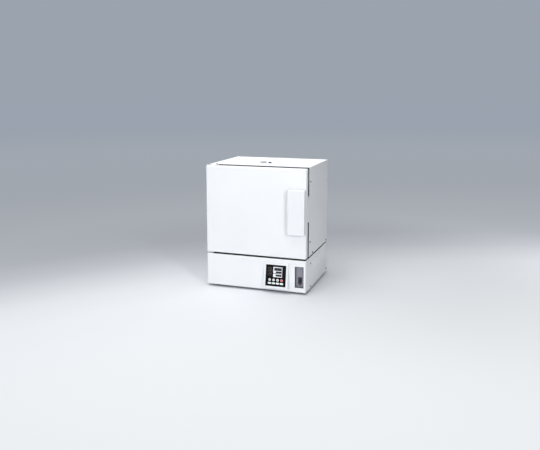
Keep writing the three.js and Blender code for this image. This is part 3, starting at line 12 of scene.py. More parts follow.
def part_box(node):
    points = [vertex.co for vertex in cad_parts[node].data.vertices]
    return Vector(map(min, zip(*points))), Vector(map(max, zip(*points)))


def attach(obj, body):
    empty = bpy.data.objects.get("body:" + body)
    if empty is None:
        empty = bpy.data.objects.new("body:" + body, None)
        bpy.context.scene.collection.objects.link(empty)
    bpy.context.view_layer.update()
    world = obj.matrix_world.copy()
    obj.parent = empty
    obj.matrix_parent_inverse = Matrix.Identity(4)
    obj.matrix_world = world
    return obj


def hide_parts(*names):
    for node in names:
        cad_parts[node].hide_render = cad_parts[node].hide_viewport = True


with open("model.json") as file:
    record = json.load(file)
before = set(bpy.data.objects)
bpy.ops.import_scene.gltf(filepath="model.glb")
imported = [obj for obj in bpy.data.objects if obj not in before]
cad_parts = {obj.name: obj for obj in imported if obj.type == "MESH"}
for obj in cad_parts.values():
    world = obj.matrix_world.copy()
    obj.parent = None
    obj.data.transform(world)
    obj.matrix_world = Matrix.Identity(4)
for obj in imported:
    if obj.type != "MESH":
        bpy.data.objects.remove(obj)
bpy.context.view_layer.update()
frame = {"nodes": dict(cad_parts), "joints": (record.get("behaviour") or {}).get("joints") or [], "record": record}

MM = 0.001

# The photograph's camera, solved from the oven's edges
IMAGE_WIDTH = 540
IMAGE_HEIGHT = 450
FOCAL_PIXELS = 620.35
AXIS_PIXEL_Y = 184.5
SENSOR_WIDTH = 36
CAMERA_AIM = Vector((0, 0, 274 * MM))
CAMERA_AZIMUTH = radians(18.644)
CAMERA_ELEVATION = radians(11.485)
CAMERA_DISTANCE = 2745.7 * MM
LOOK_YAW = radians(18.567)
LOOK_PITCH = radians(8.370)

# Floor and light, in metres and watts
FLOOR_REACH = 80
FLOOR_ROUGHNESS = 0.95
FLOOR_GLOSS = 0.1
# Where the floor's painted pool of light lies, and how it fades
PAINTED_LIGHT_POOL_AZIMUTH = radians(38)
PAINTED_LIGHT_POOL_CENTRE = 3.0
PAINTED_LIGHT_POOL_EDGE = 2.4
PAINTED_LIGHT_POOL_FADE = 2.0
SHADOW_NEAR = 0.5
SHADOW_FAR = 1.7
# The floor's tones: a painted pool of light in front of the oven, fading to the grey backdrop in the distance
FLOOR_PAINTED_LIGHT_AND_BACKDROP_TONES = [
    (0.02, (235, 238, 241)), (0.15, (234, 237, 241)), (0.21, (234, 237, 241)), (0.28, (226, 229, 234)),
    (0.34, (204, 208, 214)), (0.41, (179, 183, 190)), (0.60, (164, 169, 177)), (0.79, (160, 167, 176)),
    (0.86, (155, 163, 175)),
]
# Each lamp: azimuth and elevation in degrees, distance, size and power
LAMPS = {
    "front_right": (42, 20, 3.0, 0.6, 25.5),
    "front_left": (-12, 15, 3.0, 1.4, 21.5),
    "top": (-20, 74, 2.6, 3.0, 60),
    "rear": (-165, 14, 3.0, 1.8, 13),
    "rear_left": (-120, 24, 3.0, 1.6, 13),
}
SKY_STRENGTH = 0.07

# How finely the pieces are made
SIDES = 48
WIRE_SIDES = 12
CORNER_STEPS = 6
BEND_STEPS = 16
WELD = 0.01 * MM
SMOOTH_ANGLE = radians(50)
# Lengths of the pieces are in millimetres; they become metres where a vertex is made
HAIR = 0.05
FINE_EDGE = 0.3
EDGE = 0.5


def srgb(red, green, blue):
    """A colour written as it shows on a screen, from 0 to 255, as the linear colour that shaders take."""
    def linear(value):
        share = value / 255
        return share / 12.92 if share <= 0.04045 else ((share + 0.055) / 1.055) ** 2.4
    return (linear(red), linear(green), linear(blue), 1)


def linked(name, data):
    """A new object in the scene."""
    made = bpy.data.objects.new(name, data)
    bpy.context.scene.collection.objects.link(made)
    return made


def around(middle, width):
    """The two ends of a width."""
    return (middle - width / 2, middle + width / 2)


def between(low, high, count):
    """Evenly spaced values from one end to the other."""
    return [low + (high - low) * i / (count - 1) for i in range(count)]


# Shader and geometry nodes

def add_node(tree, kind, inputs, **settings):
    """A new node; each of its inputs is given a plain value or another node's output."""
    node = tree.nodes.new(kind)
    for key, value in settings.items():
        setattr(node, key, value)
    for socket, value in inputs.items():
        if isinstance(value, bpy.types.NodeSocket):
            tree.links.new(value, node.inputs[socket])
        else:
            node.inputs[socket].default_value = value
    return node


def calculated(tree, operation, *values):
    return add_node(tree, "ShaderNodeMath", dict(enumerate(values)), operation=operation).outputs["Value"]


def add_ramp(tree, value, stops, interpolation="LINEAR"):
    """A screen colour for each level of a value."""
    node = add_node(tree, "ShaderNodeValToRGB", {"Fac": value})
    node.color_ramp.interpolation = interpolation
    elements = node.color_ramp.elements
    for position, colour in stops[2:]:
        elements.new(position)
    for element, (position, colour) in zip(elements, stops):
        element.position = position
        element.color = srgb(*colour)
    return node.outputs["Color"]


def mixed(tree, share, first, second):
    """One shader where the share is 0 and another where it is 1."""
    return add_node(tree, "ShaderNodeMixShader", {0: share, 1: first, 2: second}).outputs["Shader"]


def seen_directly(tree):
    """1 for the rays of the camera, of mirrors and of glass, otherwise 0."""
    path = tree.nodes.new("ShaderNodeLightPath").outputs
    seen = calculated(tree, "MAXIMUM", path["Is Camera Ray"], path["Is Glossy Ray"])
    return calculated(tree, "MAXIMUM", seen, path["Is Transmission Ray"])


# Camera, floor and light

def direction(azimuth, elevation):
    """Unit vector from the oven towards a place; azimuth 0 is in front of the door."""
    return Vector((sin(azimuth) * cos(elevation),
                   -cos(azimuth) * cos(elevation),
                   sin(elevation)))


def add_camera():
    data = bpy.data.cameras.new("camera")
    data.sensor_fit = "HORIZONTAL"
    data.sensor_width = SENSOR_WIDTH
    data.lens = FOCAL_PIXELS / IMAGE_WIDTH * SENSOR_WIDTH
    data.shift_y = (AXIS_PIXEL_Y - IMAGE_HEIGHT / 2) / IMAGE_WIDTH
    camera = linked("camera", data)
    camera.location = CAMERA_AIM + CAMERA_DISTANCE * direction(CAMERA_AZIMUTH, CAMERA_ELEVATION)
    camera.rotation_euler = (pi / 2 - LOOK_PITCH, 0, LOOK_YAW)
    bpy.context.scene.camera = camera


def add_floor():
    """A floor whose colour paints a pool of light in front; away from the oven and its shadow it fades into the
    backdrop.
    """
    material = bpy.data.materials.new("studio_floor")
    material.use_nodes = True
    tree = material.node_tree
    place = tree.nodes.new("ShaderNodeNewGeometry").outputs["Position"]
    painted_pool_centre = PAINTED_LIGHT_POOL_CENTRE * direction(PAINTED_LIGHT_POOL_AZIMUTH, 0)
    pool = add_node(tree, "ShaderNodeVectorMath", {0: place, 1: painted_pool_centre}, operation="DISTANCE")
    oven = add_node(tree, "ShaderNodeVectorMath", {0: place}, operation="LENGTH")
    past_edge = calculated(tree, "SUBTRACT", pool.outputs["Value"], PAINTED_LIGHT_POOL_EDGE)
    outside = calculated(tree, "MAXIMUM", past_edge, 0.0)
    share = calculated(tree, "DIVIDE", outside, calculated(tree, "ADD", outside, PAINTED_LIGHT_POOL_FADE))
    # The floor's base colour paints a pool of light: pale towards the front right, darker further out
    tone = add_ramp(tree, share, FLOOR_PAINTED_LIGHT_AND_BACKDROP_TONES, "CARDINAL")
    fade = add_node(tree, "ShaderNodeMapRange", {
        "Value": oven.outputs["Value"], "From Min": SHADOW_NEAR, "From Max": SHADOW_FAR,
    }, interpolation_type="SMOOTHSTEP")
    glow = add_node(tree, "ShaderNodeEmission", {"Color": tone})
    shader = tree.nodes["Principled BSDF"]
    shader.inputs["Roughness"].default_value = FLOOR_ROUGHNESS
    shader.inputs["Specular IOR Level"].default_value = FLOOR_GLOSS
    tree.links.new(tone, shader.inputs["Base Color"])
    glows = calculated(tree, "MULTIPLY", fade.outputs["Result"], seen_directly(tree))
    surface = mixed(tree, glows, shader.outputs["BSDF"], glow.outputs["Emission"])
    tree.links.new(surface, tree.nodes["Material Output"].inputs["Surface"])

    mesh = bpy.data.meshes.new("studio_floor")
    corners = [(x * FLOOR_REACH, y * FLOOR_REACH, 0) for x, y in ((-1, -1), (1, -1), (1, 1), (-1, 1))]
    mesh.from_pydata(corners, [], [(0, 1, 2, 3)])
    mesh.materials.append(material)
    floor = linked("studio_floor", mesh)


def add_world():
    """Soft light from all round; the camera and mirrors see the far floor's tone there."""
    world = bpy.data.worlds.new("studio")
    world.use_nodes = True
    tree = world.node_tree
    light = tree.nodes["Background"]
    light.inputs["Color"].default_value = (1, 1, 1, 1)
    light.inputs["Strength"].default_value = SKY_STRENGTH
    seen = add_node(tree, "ShaderNodeBackground", {"Color": srgb(*FLOOR_PAINTED_LIGHT_AND_BACKDROP_TONES[-1][1])})
    surface = mixed(tree, seen_directly(tree), light.outputs["Background"], seen.outputs["Background"])
    tree.links.new(surface, tree.nodes["World Output"].inputs["Surface"])
    bpy.context.scene.world = world


def add_lamp(name, azimuth, elevation, distance, size, power):
    """A round soft lamp aimed at the oven's middle."""
    data = bpy.data.lights.new(name, "AREA")
    data.shape = "DISK"
    data.size = size
    data.energy = power
    lamp = linked(name, data)
    way = direction(radians(azimuth), radians(elevation))
    lamp.location = CAMERA_AIM + distance * way
    lamp.rotation_euler = way.to_track_quat("Z", "Y").to_euler()


# Finishes

EVEN = (1, 1, 1)
FACES_ALONG = 0.7


class Finish:
    """A Principled material; the sizes and depths of its patterns are in the object's own millimetres."""

    def __init__(self, name, **sockets):
        self.material = bpy.data.materials.new(name)
        self.material.use_nodes = True
        self.tree = self.material.node_tree
        self.shader = self.tree.nodes["Principled BSDF"]
        self.source = self.tree.nodes.new("ShaderNodeTexCoord").outputs
        self.normal = None
        for socket, value in sockets.items():
            self.shader.inputs[socket.replace("_", " ")].default_value = value

    def output(self, kind, name, inputs, **settings):
        return add_node(self.tree, kind, inputs, **settings).outputs[name]

    def texture(self, kind, size, output="Fac", stretch=EVEN, **inputs):
        """A texture with features of a size, drawn out along an axis."""
        scale = [1 / (size * MM * share) for share in stretch]
        place = self.output("ShaderNodeMapping", "Vector", {"Vector": self.source["Object"], "Scale": scale})
        return self.output(f"ShaderNodeTex{kind}", output, {"Vector": place, "Scale": 1, **inputs})

    def noise(self, size, detail, stretch=EVEN):
        return self.texture("Noise", size, stretch=stretch, Detail=detail)

    def levels(self, value, low, high, start=0.3, stop=0.7):
        return self.output("ShaderNodeMapRange", "Result", {
            "Value": value, "From Min": start, "From Max": stop, "To Min": low, "To Max": high})

    def facing(self, axis):
        """1 where the object's own surface faces along an axis, otherwise 0."""
        along = self.output("ShaderNodeSeparateXYZ", axis, {"Vector": self.source["Normal"]})
        return calculated(self.tree, "GREATER_THAN", calculated(self.tree, "ABSOLUTE", along), FACES_ALONG)

    def shine(self, value):
        self.tree.links.new(value, self.shader.inputs["Roughness"])

    def gloss(self, value, low, high, start=0.3, stop=0.7):
        """Roughness from one level to another, as a pattern goes."""
        self.shine(self.levels(value, low, high, start, stop))

    def tones(self, value, *colours, ends=(0.3, 0.7)):
        """The base colour, through screen colours spread evenly over a pattern's levels."""
        stops = list(zip(between(*ends, len(colours)), colours))
        self.tree.links.new(add_ramp(self.tree, value, stops), self.shader.inputs["Base Color"])

    def bump(self, height, distance):
        inputs = {"Height": height, "Distance": distance * MM, "Strength": 1}
        if self.normal:
            inputs["Normal"] = self.normal
        self.normal = self.output("ShaderNodeBump", "Normal", inputs)
        self.tree.links.new(self.normal, self.shader.inputs["Normal"])


def patterned(name, tone, colours, gloss, levels, bumps, ends=(0.3, 0.7), **sockets):
    """A finish with one noise in its tone, one in its gloss, and bumps that are each a noise and a depth."""
    finish = Finish(name, **sockets)
    finish.tones(finish.noise(*tone), *colours, ends=ends)
    finish.gloss(finish.noise(*gloss), *levels)
    for pattern, depth in bumps:
        finish.bump(finish.noise(*pattern), depth)
    return finish.material


def brushed_stainless():
    """Stainless sheet, brushed along its depth, or across on the faces that look along it."""
    finish = Finish("brushed_stainless", Metallic=1)
    grain = finish.output("ShaderNodeMix", "Result", {
        "Factor": finish.facing("Y"),
        "A": finish.noise(0.35, 3, (1, 60, 1)),
        "B": finish.noise(0.35, 3, (60, 1, 1)),
    }, data_type="FLOAT")
    finish.tones(grain, (178, 179, 178), (192, 193, 192))
    patches = finish.levels(finish.noise(50, 3), 0.94, 1.08)
    finish.shine(calculated(finish.tree, "MULTIPLY", finish.levels(grain, 0.48, 0.58), patches))
    finish.bump(grain, 0.006)
    finish.bump(finish.noise(90, 1), 0.05)
    return finish.material


def zinc_plate(name, dark, light):
    """Zinc plated steel with its faint spangle."""
    finish = Finish(name, Metallic=1)
    spangle = finish.texture("Voronoi", 3, "Color")
    finish.tones(spangle, dark, light, ends=(0.1, 0.9))
    finish.gloss(spangle, 0.42, 0.5, 0.1, 0.9)
    finish.bump(finish.noise(0.9, 3), 0.01)
    return finish.material


def drawn_metal(name, lines, colours, levels, depth):
    """Metal with fine lines from a die or a tool."""
    return patterned(name, lines, colours, lines, levels, [(lines, depth)], Metallic=1)


def mineral_wool():
    """Yellow mineral wool: layered fibres with darker binder between them."""
    finish = Finish("mineral_wool", Sheen_Weight=0.3, Sheen_Roughness=0.6)
    fibres = finish.noise(0.9, 6, (12, 4, 1))
    clumps = finish.noise(14, 4, (2, 2, 1))
    finish.tones(calculated(finish.tree, "MULTIPLY", fibres, clumps), (140, 122, 74), (214, 200, 148),
                 ends=(0.12, 0.4))
    finish.gloss(clumps, 0.85, 1)
    finish.bump(clumps, 3)
    finish.bump(fibres, 0.8)
    return finish.material


def rubber(name, dark, light, low, high):
    """Moulded rubber or silicone with a dusty, uneven bloom."""
    bloom = (6, 5)
    return patterned(name, bloom, (dark, light), bloom, (low, high), [((0.4, 3), 0.03)], (0.3, 0.75),
                     Specular_IOR_Level=0.35)


def moulded_plastic(name, dark, light, low, high):
    """Moulded plastic: a fine grain, with slight flow marks in its tone."""
    finish = Finish(name)
    finish.tones(finish.noise(30, 3, (1, 1, 3)), dark, light)
    finish.gloss(finish.noise(5, 3), low, high)
    finish.bump(finish.texture("Voronoi", 0.45, "Distance"), 0.02)
    return finish.material


def ink(name, dark, light, low=0.38, high=0.5):
    """Screen printed ink, a little uneven in cover."""
    cover = (2.5, 4)
    return patterned(name, cover, (dark, light), cover, (low, high), [((0.3, 2), 0.01)])


def circuit_board():
    """Green board with its copper tracks under the lacquer."""
    finish = Finish("circuit_board", Coat_Weight=0.3, Coat_Roughness=0.2)
    tracks = finish.levels(finish.texture("Wave", 1.6, Distortion=2), 0, 1, 0.55, 0.65)
    finish.tones(tracks, (30, 88, 48), (62, 128, 70), ends=(0.2, 0.8))
    finish.gloss(tracks, 0.3, 0.45, 0, 1)
    finish.bump(tracks, 0.04)
    return finish.material


FINISHES = {
    # Baked enamel on sheet steel: a faint orange peel over a slightly wavy sheet
    "white_paint": patterned("white_enamel", (220, 3), ((239, 241, 244), (243, 245, 248)), (40, 4),
                             (0.33, 0.43), [((70, 1), 0.12), ((1.5, 2), 0.015)],
                             Coat_Weight=0.15, Coat_Roughness=0.2),
    "stainless": brushed_stainless(),
    "zinc_steel": zinc_plate("zinc_plate", (166, 169, 172), (180, 183, 185)),
    "aluminium": drawn_metal("drawn_aluminium", (0.6, 3, (1, 90, 1)), ((190, 192, 195), (208, 210, 212)),
                             (0.3, 0.46), 0.02),
    "mineral_wool": mineral_wool(),
    "foot_rubber": rubber("foot_rubber", (22, 23, 25), (40, 41, 43), 0.7, 0.9),
    "gasket_silicone": rubber("gasket_silicone", (48, 50, 53), (66, 68, 71), 0.5, 0.66),
    "black_plastic": moulded_plastic("black_plastic", (18, 19, 22), (26, 28, 31), 0.38, 0.52),
    "grey_plastic": moulded_plastic("grey_plastic", (143, 143, 155), (153, 153, 164), 0.4, 0.52),
    # Dark windows over the unlit display
    "smoked_lens": patterned("smoked_lens", (10, 2), ((18, 20, 25), (26, 28, 34)), (7, 4), (0.1, 0.22),
                             [((8, 1), 0.01)], Coat_Weight=0.6, Coat_Roughness=0.04),
    "circuit_board": circuit_board(),
    "key_white": ink("key_white", (232, 234, 237), (238, 240, 243)),
    "key_red": ink("key_red", (228, 130, 134), (235, 140, 144)),
    "test_red": moulded_plastic("test_red", (92, 22, 28), (112, 30, 36), 0.36, 0.5),
    # The heater's sheath, oxidised in patches by its heat
    "heater_steel": patterned("heater_steel", (16, 5), ((84, 74, 70), (120, 112, 106), (138, 122, 96)),
                              (16, 5), (0.42, 0.62), [((0.7, 4), 0.02)], (0.25, 0.75), Metallic=0.9),
    "brass": drawn_metal("turned_brass", (0.3, 2, (8, 8, 1)), ((178, 146, 84), (200, 168, 104)),
                         (0.24, 0.4), 0.01),
}
AGED_ZINC = zinc_plate("aged_zinc", (126, 128, 128), (144, 146, 145))
# White moulded plastic with a fine spark-eroded grain
MOULDING = patterned("white_moulding", (60, 2), ((233, 236, 240), (237, 240, 244)), (9, 3), (0.42, 0.54),
                     [((0.5, 3), 0.02)])
# The controller's front: smooth black polyester film with a faint ripple and finger marks
FILM = patterned("printed_film", (18, 2), ((7, 8, 12), (13, 14, 19)), (12, 5), (0.28, 0.42),
                 [((9, 1), 0.02)], Specular_IOR_Level=0.1)
DARK_STEEL = moulded_plastic("blackened_steel", (58, 60, 64), (78, 80, 84), 0.34, 0.5)
# Dark grey: painted shade on the breaker recess's walls, and the colour of the breaker's small window
DARK_GREY_AND_RECESS_SHADE = moulded_plastic("dark_grey_and_recess_shade", (92, 102, 110), (104, 114, 122), 0.42, 0.55)
# Near-black paint that stands in for the shade of the gap under the door: painted shade
PAINTED_GAP_SHADE = moulded_plastic("painted_gap_shade", (38, 40, 43), (48, 50, 53), 0.5, 0.62)
KNOB = moulded_plastic("knob_plastic", (42, 44, 47), (54, 56, 59), 0.38, 0.52)
FAINT_INK = ink("faint_ink", (78, 68, 66), (96, 84, 80))
SEGMENT_INK = ink("segment_ink", (46, 49, 56), (56, 59, 66), 0.3, 0.4)
DARK_INK = ink("dark_ink", (40, 42, 46), (56, 58, 62))

SLOT_OF_NODE = {part["node"]: part["material_slot"] for part in frame["record"]["subparts"]}
OTHER_FINISH = {
    # The base's top plate, dark to paint the shade in the gap under the door
    "base_top_plate": PAINTED_GAP_SHADE,
    "controller_face": FILM,
    "controller_bezel": MOULDING,
    "handle_paddle": MOULDING,
}


# Mesh building

def add_points(bm, points, place=Matrix()):
    """A vertex for each point of a place that is in millimetres."""
    return [bm.verts.new(place @ Vector(point) * MM) for point in points]


def join_rings(bm, rings, closed=False):
    """Faces between rings of points; a ring of one point is a tip."""
    for first, second in zip(rings, rings[1:] + (rings[:1] if closed else [])):
        for i in range(max(len(first), len(second))):
            corners = [(first, i), (second, i), (second, i + 1), (first, i + 1)]
            bm.faces.new(list(dict.fromkeys(ring[k % len(ring)] for ring, k in corners)))


def add_turned(bm, profile, place=Matrix(), sides=SIDES, flutes=0, depth=0, closed=False):
    """Turns (radius, height) points about the place's Z axis; flutes hollow the rim by a depth."""
    rings = []
    for radius, height in profile:
        ring = []
        for side in range(sides if radius else 1):
            angle = tau * side / sides
            reach = radius - (depth * max(0, cos(flutes * angle)) if flutes and radius else 0)
            ring.append((reach * cos(angle), reach * sin(angle), height))
        rings.append(add_points(bm, ring, place))
    join_rings(bm, rings, closed)


def add_tube(bm, path, radius, sides=WIRE_SIDES, closed=False):
    """A round tube along a path, with its ends capped unless it closes on itself."""
    path = [Vector(point) for point in path]
    around_path = [path[-1], *path, path[0]] if closed else [path[0], *path, path[-1]]
    turns = [tau * side / sides for side in range(sides)]
    rings = []
    for before, point, after in zip(around_path, path, around_path[2:]):
        tangent = (after - before).normalized()
        if not rings:
            across = tangent.orthogonal().normalized()
        across = (across - tangent * across.dot(tangent)).normalized()
        other = tangent.cross(across)
        rings.append(add_points(
            bm, [point + radius * (across * cos(turn) + other * sin(turn)) for turn in turns]))
    join_rings(bm, rings, closed)
    if not closed:
        bm.faces.new(rings[0])
        bm.faces.new(rings[-1])


def rounded_outline(x_ends, y_ends, radius, steps=CORNER_STEPS):
    """A rectangle with round corners, anticlockwise."""
    low_x, high_x = x_ends[0] + radius, x_ends[1] - radius
    low_y, high_y = y_ends[0] + radius, y_ends[1] - radius
    points = []
    for quarter, (x, y) in enumerate([(high_x, high_y), (low_x, high_y), (low_x, low_y), (high_x, low_y)]):
        for step in range(steps + 1):
            angle = (quarter + step / steps) * pi / 2
            points.append((x + radius * cos(angle), y + radius * sin(angle)))
    return points


def rounded(bm, edges, radius, steps):
    bmesh.ops.bevel(bm, geom=list(edges), offset=radius * MM, segments=steps, profile=0.5, affect="EDGES")


def add_prism(bm, outline, place, bottom, top, edge=0, steps=2):
    """An outline in the place's XY plane, from one height to another, with its top edge rounded."""
    low, high = (add_points(bm, [(x, y, level) for x, y in outline], place) for level in (bottom, top))
    bm.faces.new(low[::-1])
    cap = bm.faces.new(high)
    join_rings(bm, [low, high])
    if edge:
        rounded(bm, cap.edges, edge, steps)


def add_box(bm, low, high, place=Matrix(), edge=0, steps=3):
    """A box between two corners, with all its edges rounded."""
    size = Vector(high) - Vector(low)
    middle = (Vector(high) + Vector(low)) / 2
    made = bmesh.ops.create_cube(bm, size=1, matrix=(
        Matrix.Scale(MM, 4) @ place @ Matrix.Translation(middle) @ Matrix.Diagonal((*size, 1))))
    rounded(bm, {e for v in made["verts"] for e in v.link_edges}, edge, steps)


def add_panel(bm, xs, ys, holes, place, bottom, top):
    """A plate on a grid of lines, with whole cells left open as rectangular holes."""
    solid = {(i, j) for i in range(len(xs) - 1) for j in range(len(ys) - 1)} - set(holes)
    corners = {}

    def corner(i, j, height):
        key = (i, j, height)
        if key not in corners:
            corners[key], = add_points(bm, [(xs[i], ys[j], height)], place)
        return corners[key]

    for i, j in sorted(solid):
        loop = [(i, j), (i + 1, j), (i + 1, j + 1), (i, j + 1)]
        bm.faces.new([corner(a, b, top) for a, b in loop])
        bm.faces.new([corner(a, b, bottom) for a, b in reversed(loop)])
        beside = [(i, j - 1), (i + 1, j), (i, j + 1), (i - 1, j)]
        for k, neighbour in enumerate(beside):
            if neighbour not in solid:
                a, b = loop[k], loop[(k + 1) % 4]
                bm.faces.new([corner(*a, bottom), corner(*b, bottom), corner(*b, top), corner(*a, top)])


def towards(point, way, spin=0):
    """A place at a point whose Z axis points a given way."""
    turn = Vector(way).to_track_quat("Z", "Y").to_matrix().to_4x4()
    return Matrix.Translation(point) @ turn @ Matrix.Rotation(spin, 4, "Z")


def finished(name, bm, slot, body="cabinet", replaced=None, material=None, sharp=35):
    """Turns a built mesh into a piece that rides on a body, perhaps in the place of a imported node."""
    bmesh.ops.recalc_face_normals(bm, faces=bm.faces)
    for face in bm.faces:
        face.smooth = True
    mesh = bpy.data.meshes.new(name)
    bm.to_mesh(mesh)
    bm.free()
    mesh.set_sharp_from_angle(angle=radians(sharp))
    mesh.materials.append(material or FINISHES[slot])
    piece = linked(name, mesh)
    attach(piece, body)
    if replaced:
        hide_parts(replaced)


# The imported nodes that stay: smooth where they are round, and finished by their slot

def smoothing_nodes():
    """Drops stored normals, joins loose triangles and shades shallow edges smooth."""
    group = bpy.data.node_groups.new("smooth_faces", "GeometryNodeTree")
    for way in ("INPUT", "OUTPUT"):
        group.interface.new_socket("Geometry", in_out=way, socket_type="NodeSocketGeometry")
    geometry = group.nodes.new("NodeGroupInput").outputs[0]
    angle = group.nodes.new("GeometryNodeInputMeshEdgeAngle").outputs["Unsigned Angle"]
    shallow = add_node(group, "FunctionNodeCompare", {0: angle, 1: SMOOTH_ANGLE},
                       data_type="FLOAT", operation="LESS_THAN").outputs["Result"]
    for kind, inputs, settings in (
            ("GeometryNodeRemoveAttribute", {"Name": "custom_normal"}, {}),
            ("GeometryNodeMergeByDistance", {"Distance": WELD}, {}),
            ("GeometryNodeSetShadeSmooth", {"Shade Smooth": shallow}, {"domain": "EDGE"}),
            ("GeometryNodeSetShadeSmooth", {}, {"domain": "FACE"})):
        geometry = add_node(group, kind, {"Geometry": geometry, **inputs}, **settings).outputs["Geometry"]
    add_node(group, "NodeGroupOutput", {0: geometry})
    return group


def dress_nodes():
    group = smoothing_nodes()
    for name, node in frame["nodes"].items():
        material = OTHER_FINISH.get(name) or FINISHES[SLOT_OF_NODE[name]]
        for slot in node.material_slots:
            slot.material = material
        node.modifiers.new("smooth_faces", "NODES").node_group = group
        node.modifiers.new("even_normals", "WEIGHTED_NORMAL").keep_sharp = True


# Places that several pieces share

FACE_THICK = 2.2
FACE_RECESS = 0.8
UPRIGHT = Matrix.Rotation(pi / 2, 4, "X")


def box(name):
    """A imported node's low and high corners."""
    low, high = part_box(name)
    return low / MM, high / MM


def measured(name):
    """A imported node's low corner, high corner and middle."""
    low, high = box(name)
    return low, high, (low + high) / 2


def round_node(name):
    """A round upright node: the place at the middle of its foot, its radius and its height."""
    low, high, middle = measured(name)
    return Matrix.Translation((middle.x, middle.y, low.z)), (high.x - low.x) / 2, high.z - low.z


def joint(name):
    return next(j for j in frame["joints"] if j["name"] == name)


def controller_place():
    """X across the controller's face, Y up it and Z out of it, from the middle of its front rim."""
    inwards = Vector(joint("key_down_press")["axis"])
    lean = atan2(-inwards.z, inwards.y)
    origin = measured("controller_face")[2] - inwards * (FACE_RECESS + FACE_THICK / 2)
    return Matrix.Translation(origin) @ Matrix.Rotation(-lean, 4, "X") @ UPRIGHT


# Screws: places on the sides are (depth, height)

SCREW = (3.6, 2.1)  # radius and height of the head
SMALL_SCREW = (2.6, 1.5)
SIDE_SCREWS = {
    "cabinet": [(-121, 463.8), (-121, 212), (-81, 158.9), (158, 158.7)],
    "base": [(-109, 117.3), (-109, 18.4), (172, 19.6)],
}
# Name, node, inset from its rim, and number of columns and rows
REAR_SCREWS = [
    ("rear_panel_screws", "cabinet_rear_panel", 9, 4, 4),
    ("base_rear_screws", "base_rear_panel", 8, 3, 2),
]
PANEL_SCREWS = (17, 4, 5)
PANEL_SHEET = 1.3
HINGE_SCREW_RISES = (8, 19.2)
HINGE_SCREW_X = 10.5
HINGE_EAR = 2.4
RACK_SCREW_INSET = 7
RACK_SHEET = 1
TOP_SCREW = (-191, -128)
# The cross recess: its directions in a quarter turn, and how far its arms reach and how wide they are
CROSS_ANGLES = [0, 8, 16.4, 25, 35, 45, 55, 65, 73.6, 82]
CROSS_LENGTH_SHARE = 0.58
CROSS_WIDTH_SHARE = 0.17
# Rings from the rim to the recess's floor: shares of the head's radius, of the cross and of the height
SCREW_RINGS = [(1, 0, 0), (1, 0, 0.35), (0.94, 0, 0.65), (0.8, 0, 0.88), (0, 1, 1), (0, 0.75, 0.2)]


def cross_reach(angle):
    """Distance to the cross's edge in one direction, as a share of the head's radius."""
    near = radians(min(angle, 90 - angle))
    return min(CROSS_LENGTH_SHARE / cos(near), CROSS_WIDTH_SHARE / max(sin(near), 0.001))


def add_screw(bm, place, radius, height):
    """A pan head with a cross recess; its underside lies at the place."""
    rings = [add_points(bm, [(0, 0, 0)], place)]
    for head, cross, rise in SCREW_RINGS:
        ring = []
        for quarter in range(4):
            for angle in CROSS_ANGLES:
                reach = radius * (head + cross * cross_reach(angle))
                turn = radians(quarter * 90 + angle)
                ring.append((reach * cos(turn), reach * sin(turn), height * rise))
        rings.append(add_points(bm, ring, place))
    rings.append(add_points(bm, [(0, 0, height * SCREW_RINGS[-1][2])], place))
    join_rings(bm, rings)


def screws(name, places, size=SCREW, body="cabinet", slot="zinc_steel", material=None):
    """A set of like screws as one piece, each turned its own way."""
    turns = random.Random(name)
    bm = bmesh.new()
    for point, way in places:
        add_screw(bm, towards(point, way, turns.uniform(0, pi / 2)), *size)
    finished(name, bm, slot, body, material=material, sharp=30)


def rim_points(low, high, inset_x, inset_z, columns, rows):
    """Points inside a rectangle's rim, corners included."""
    x_ends = (low.x + inset_x, high.x - inset_x)
    z_ends = (low.z + inset_z, high.z - inset_z)
    points = [(x, z) for x in between(*x_ends, columns) for z in z_ends]
    points += [(x, z) for z in between(*z_ends, rows)[1:-1] for x in x_ends]
    return points


def add_cabinet_screws():
    low, high = box("cabinet_wrap")
    for side, x, sign in (("right", high.x, 1), ("left", low.x, -1)):
        for part, places in SIDE_SCREWS.items():
            screws(f"{part}_screws_{side}", [((x, *place), (sign, 0, 0)) for place in places],
                   material=DARK_STEEL)
    screws("cabinet_screw_top", [((*TOP_SCREW, high.z), (0, 0, 1))], material=DARK_STEEL)
    for name, node, inset, columns, rows in REAR_SCREWS:
        low, high = box(node)
        rim = rim_points(low, high, inset, inset, columns, rows)
        screws(name, [((x, high.y, z), (0, 1, 0)) for x, z in rim])


def add_door_screws():
    """Round the door's inner panel, except where the latch comes out."""
    low, high = box("door_inner_panel")
    latch_low, latch_high = box("latch_arm")
    back = box("door_outer_shell")[1].y + PANEL_SHEET
    inset, columns, rows = PANEL_SCREWS
    rim = [(x, z) for x, z in rim_points(low, high, inset, inset / 2, columns, rows)
           if x < 0 or not latch_low.z < z < latch_high.z]
    screws("door_panel_screws", [((x, back, z), (0, 1, 0)) for x, z in rim],
           SMALL_SCREW, "door", "stainless", FINISHES["zinc_steel"])


def add_hinge_screws():
    places = []
    for which, outwards in (("upper", 1), ("lower", -1)):
        low, high = box(f"hinge_bracket_{which}")
        edge = low.z if which == "upper" else high.z
        for rise in HINGE_SCREW_RISES:
            point = (low.x + HINGE_SCREW_X, high.y - HINGE_EAR, edge + outwards * rise)
            places.append((point, (0, -1, 0)))
    screws("hinge_screws", places, SMALL_SCREW)


def add_rack_screws():
    inset = RACK_SCREW_INSET
    for side, sign in (("left", -1), ("right", 1)):
        low, high = box(f"shelf_rack_{side}")
        inner = (high.x if sign > 0 else low.x) - sign * RACK_SHEET
        places = [((inner, y, z), (-sign, 0, 0))
                  for y in (low.y + inset, high.y - inset) for z in (low.z + inset, high.z - inset)]
        screws(f"rack_screws_{side}", places, SMALL_SCREW, slot="stainless")


# Controller front

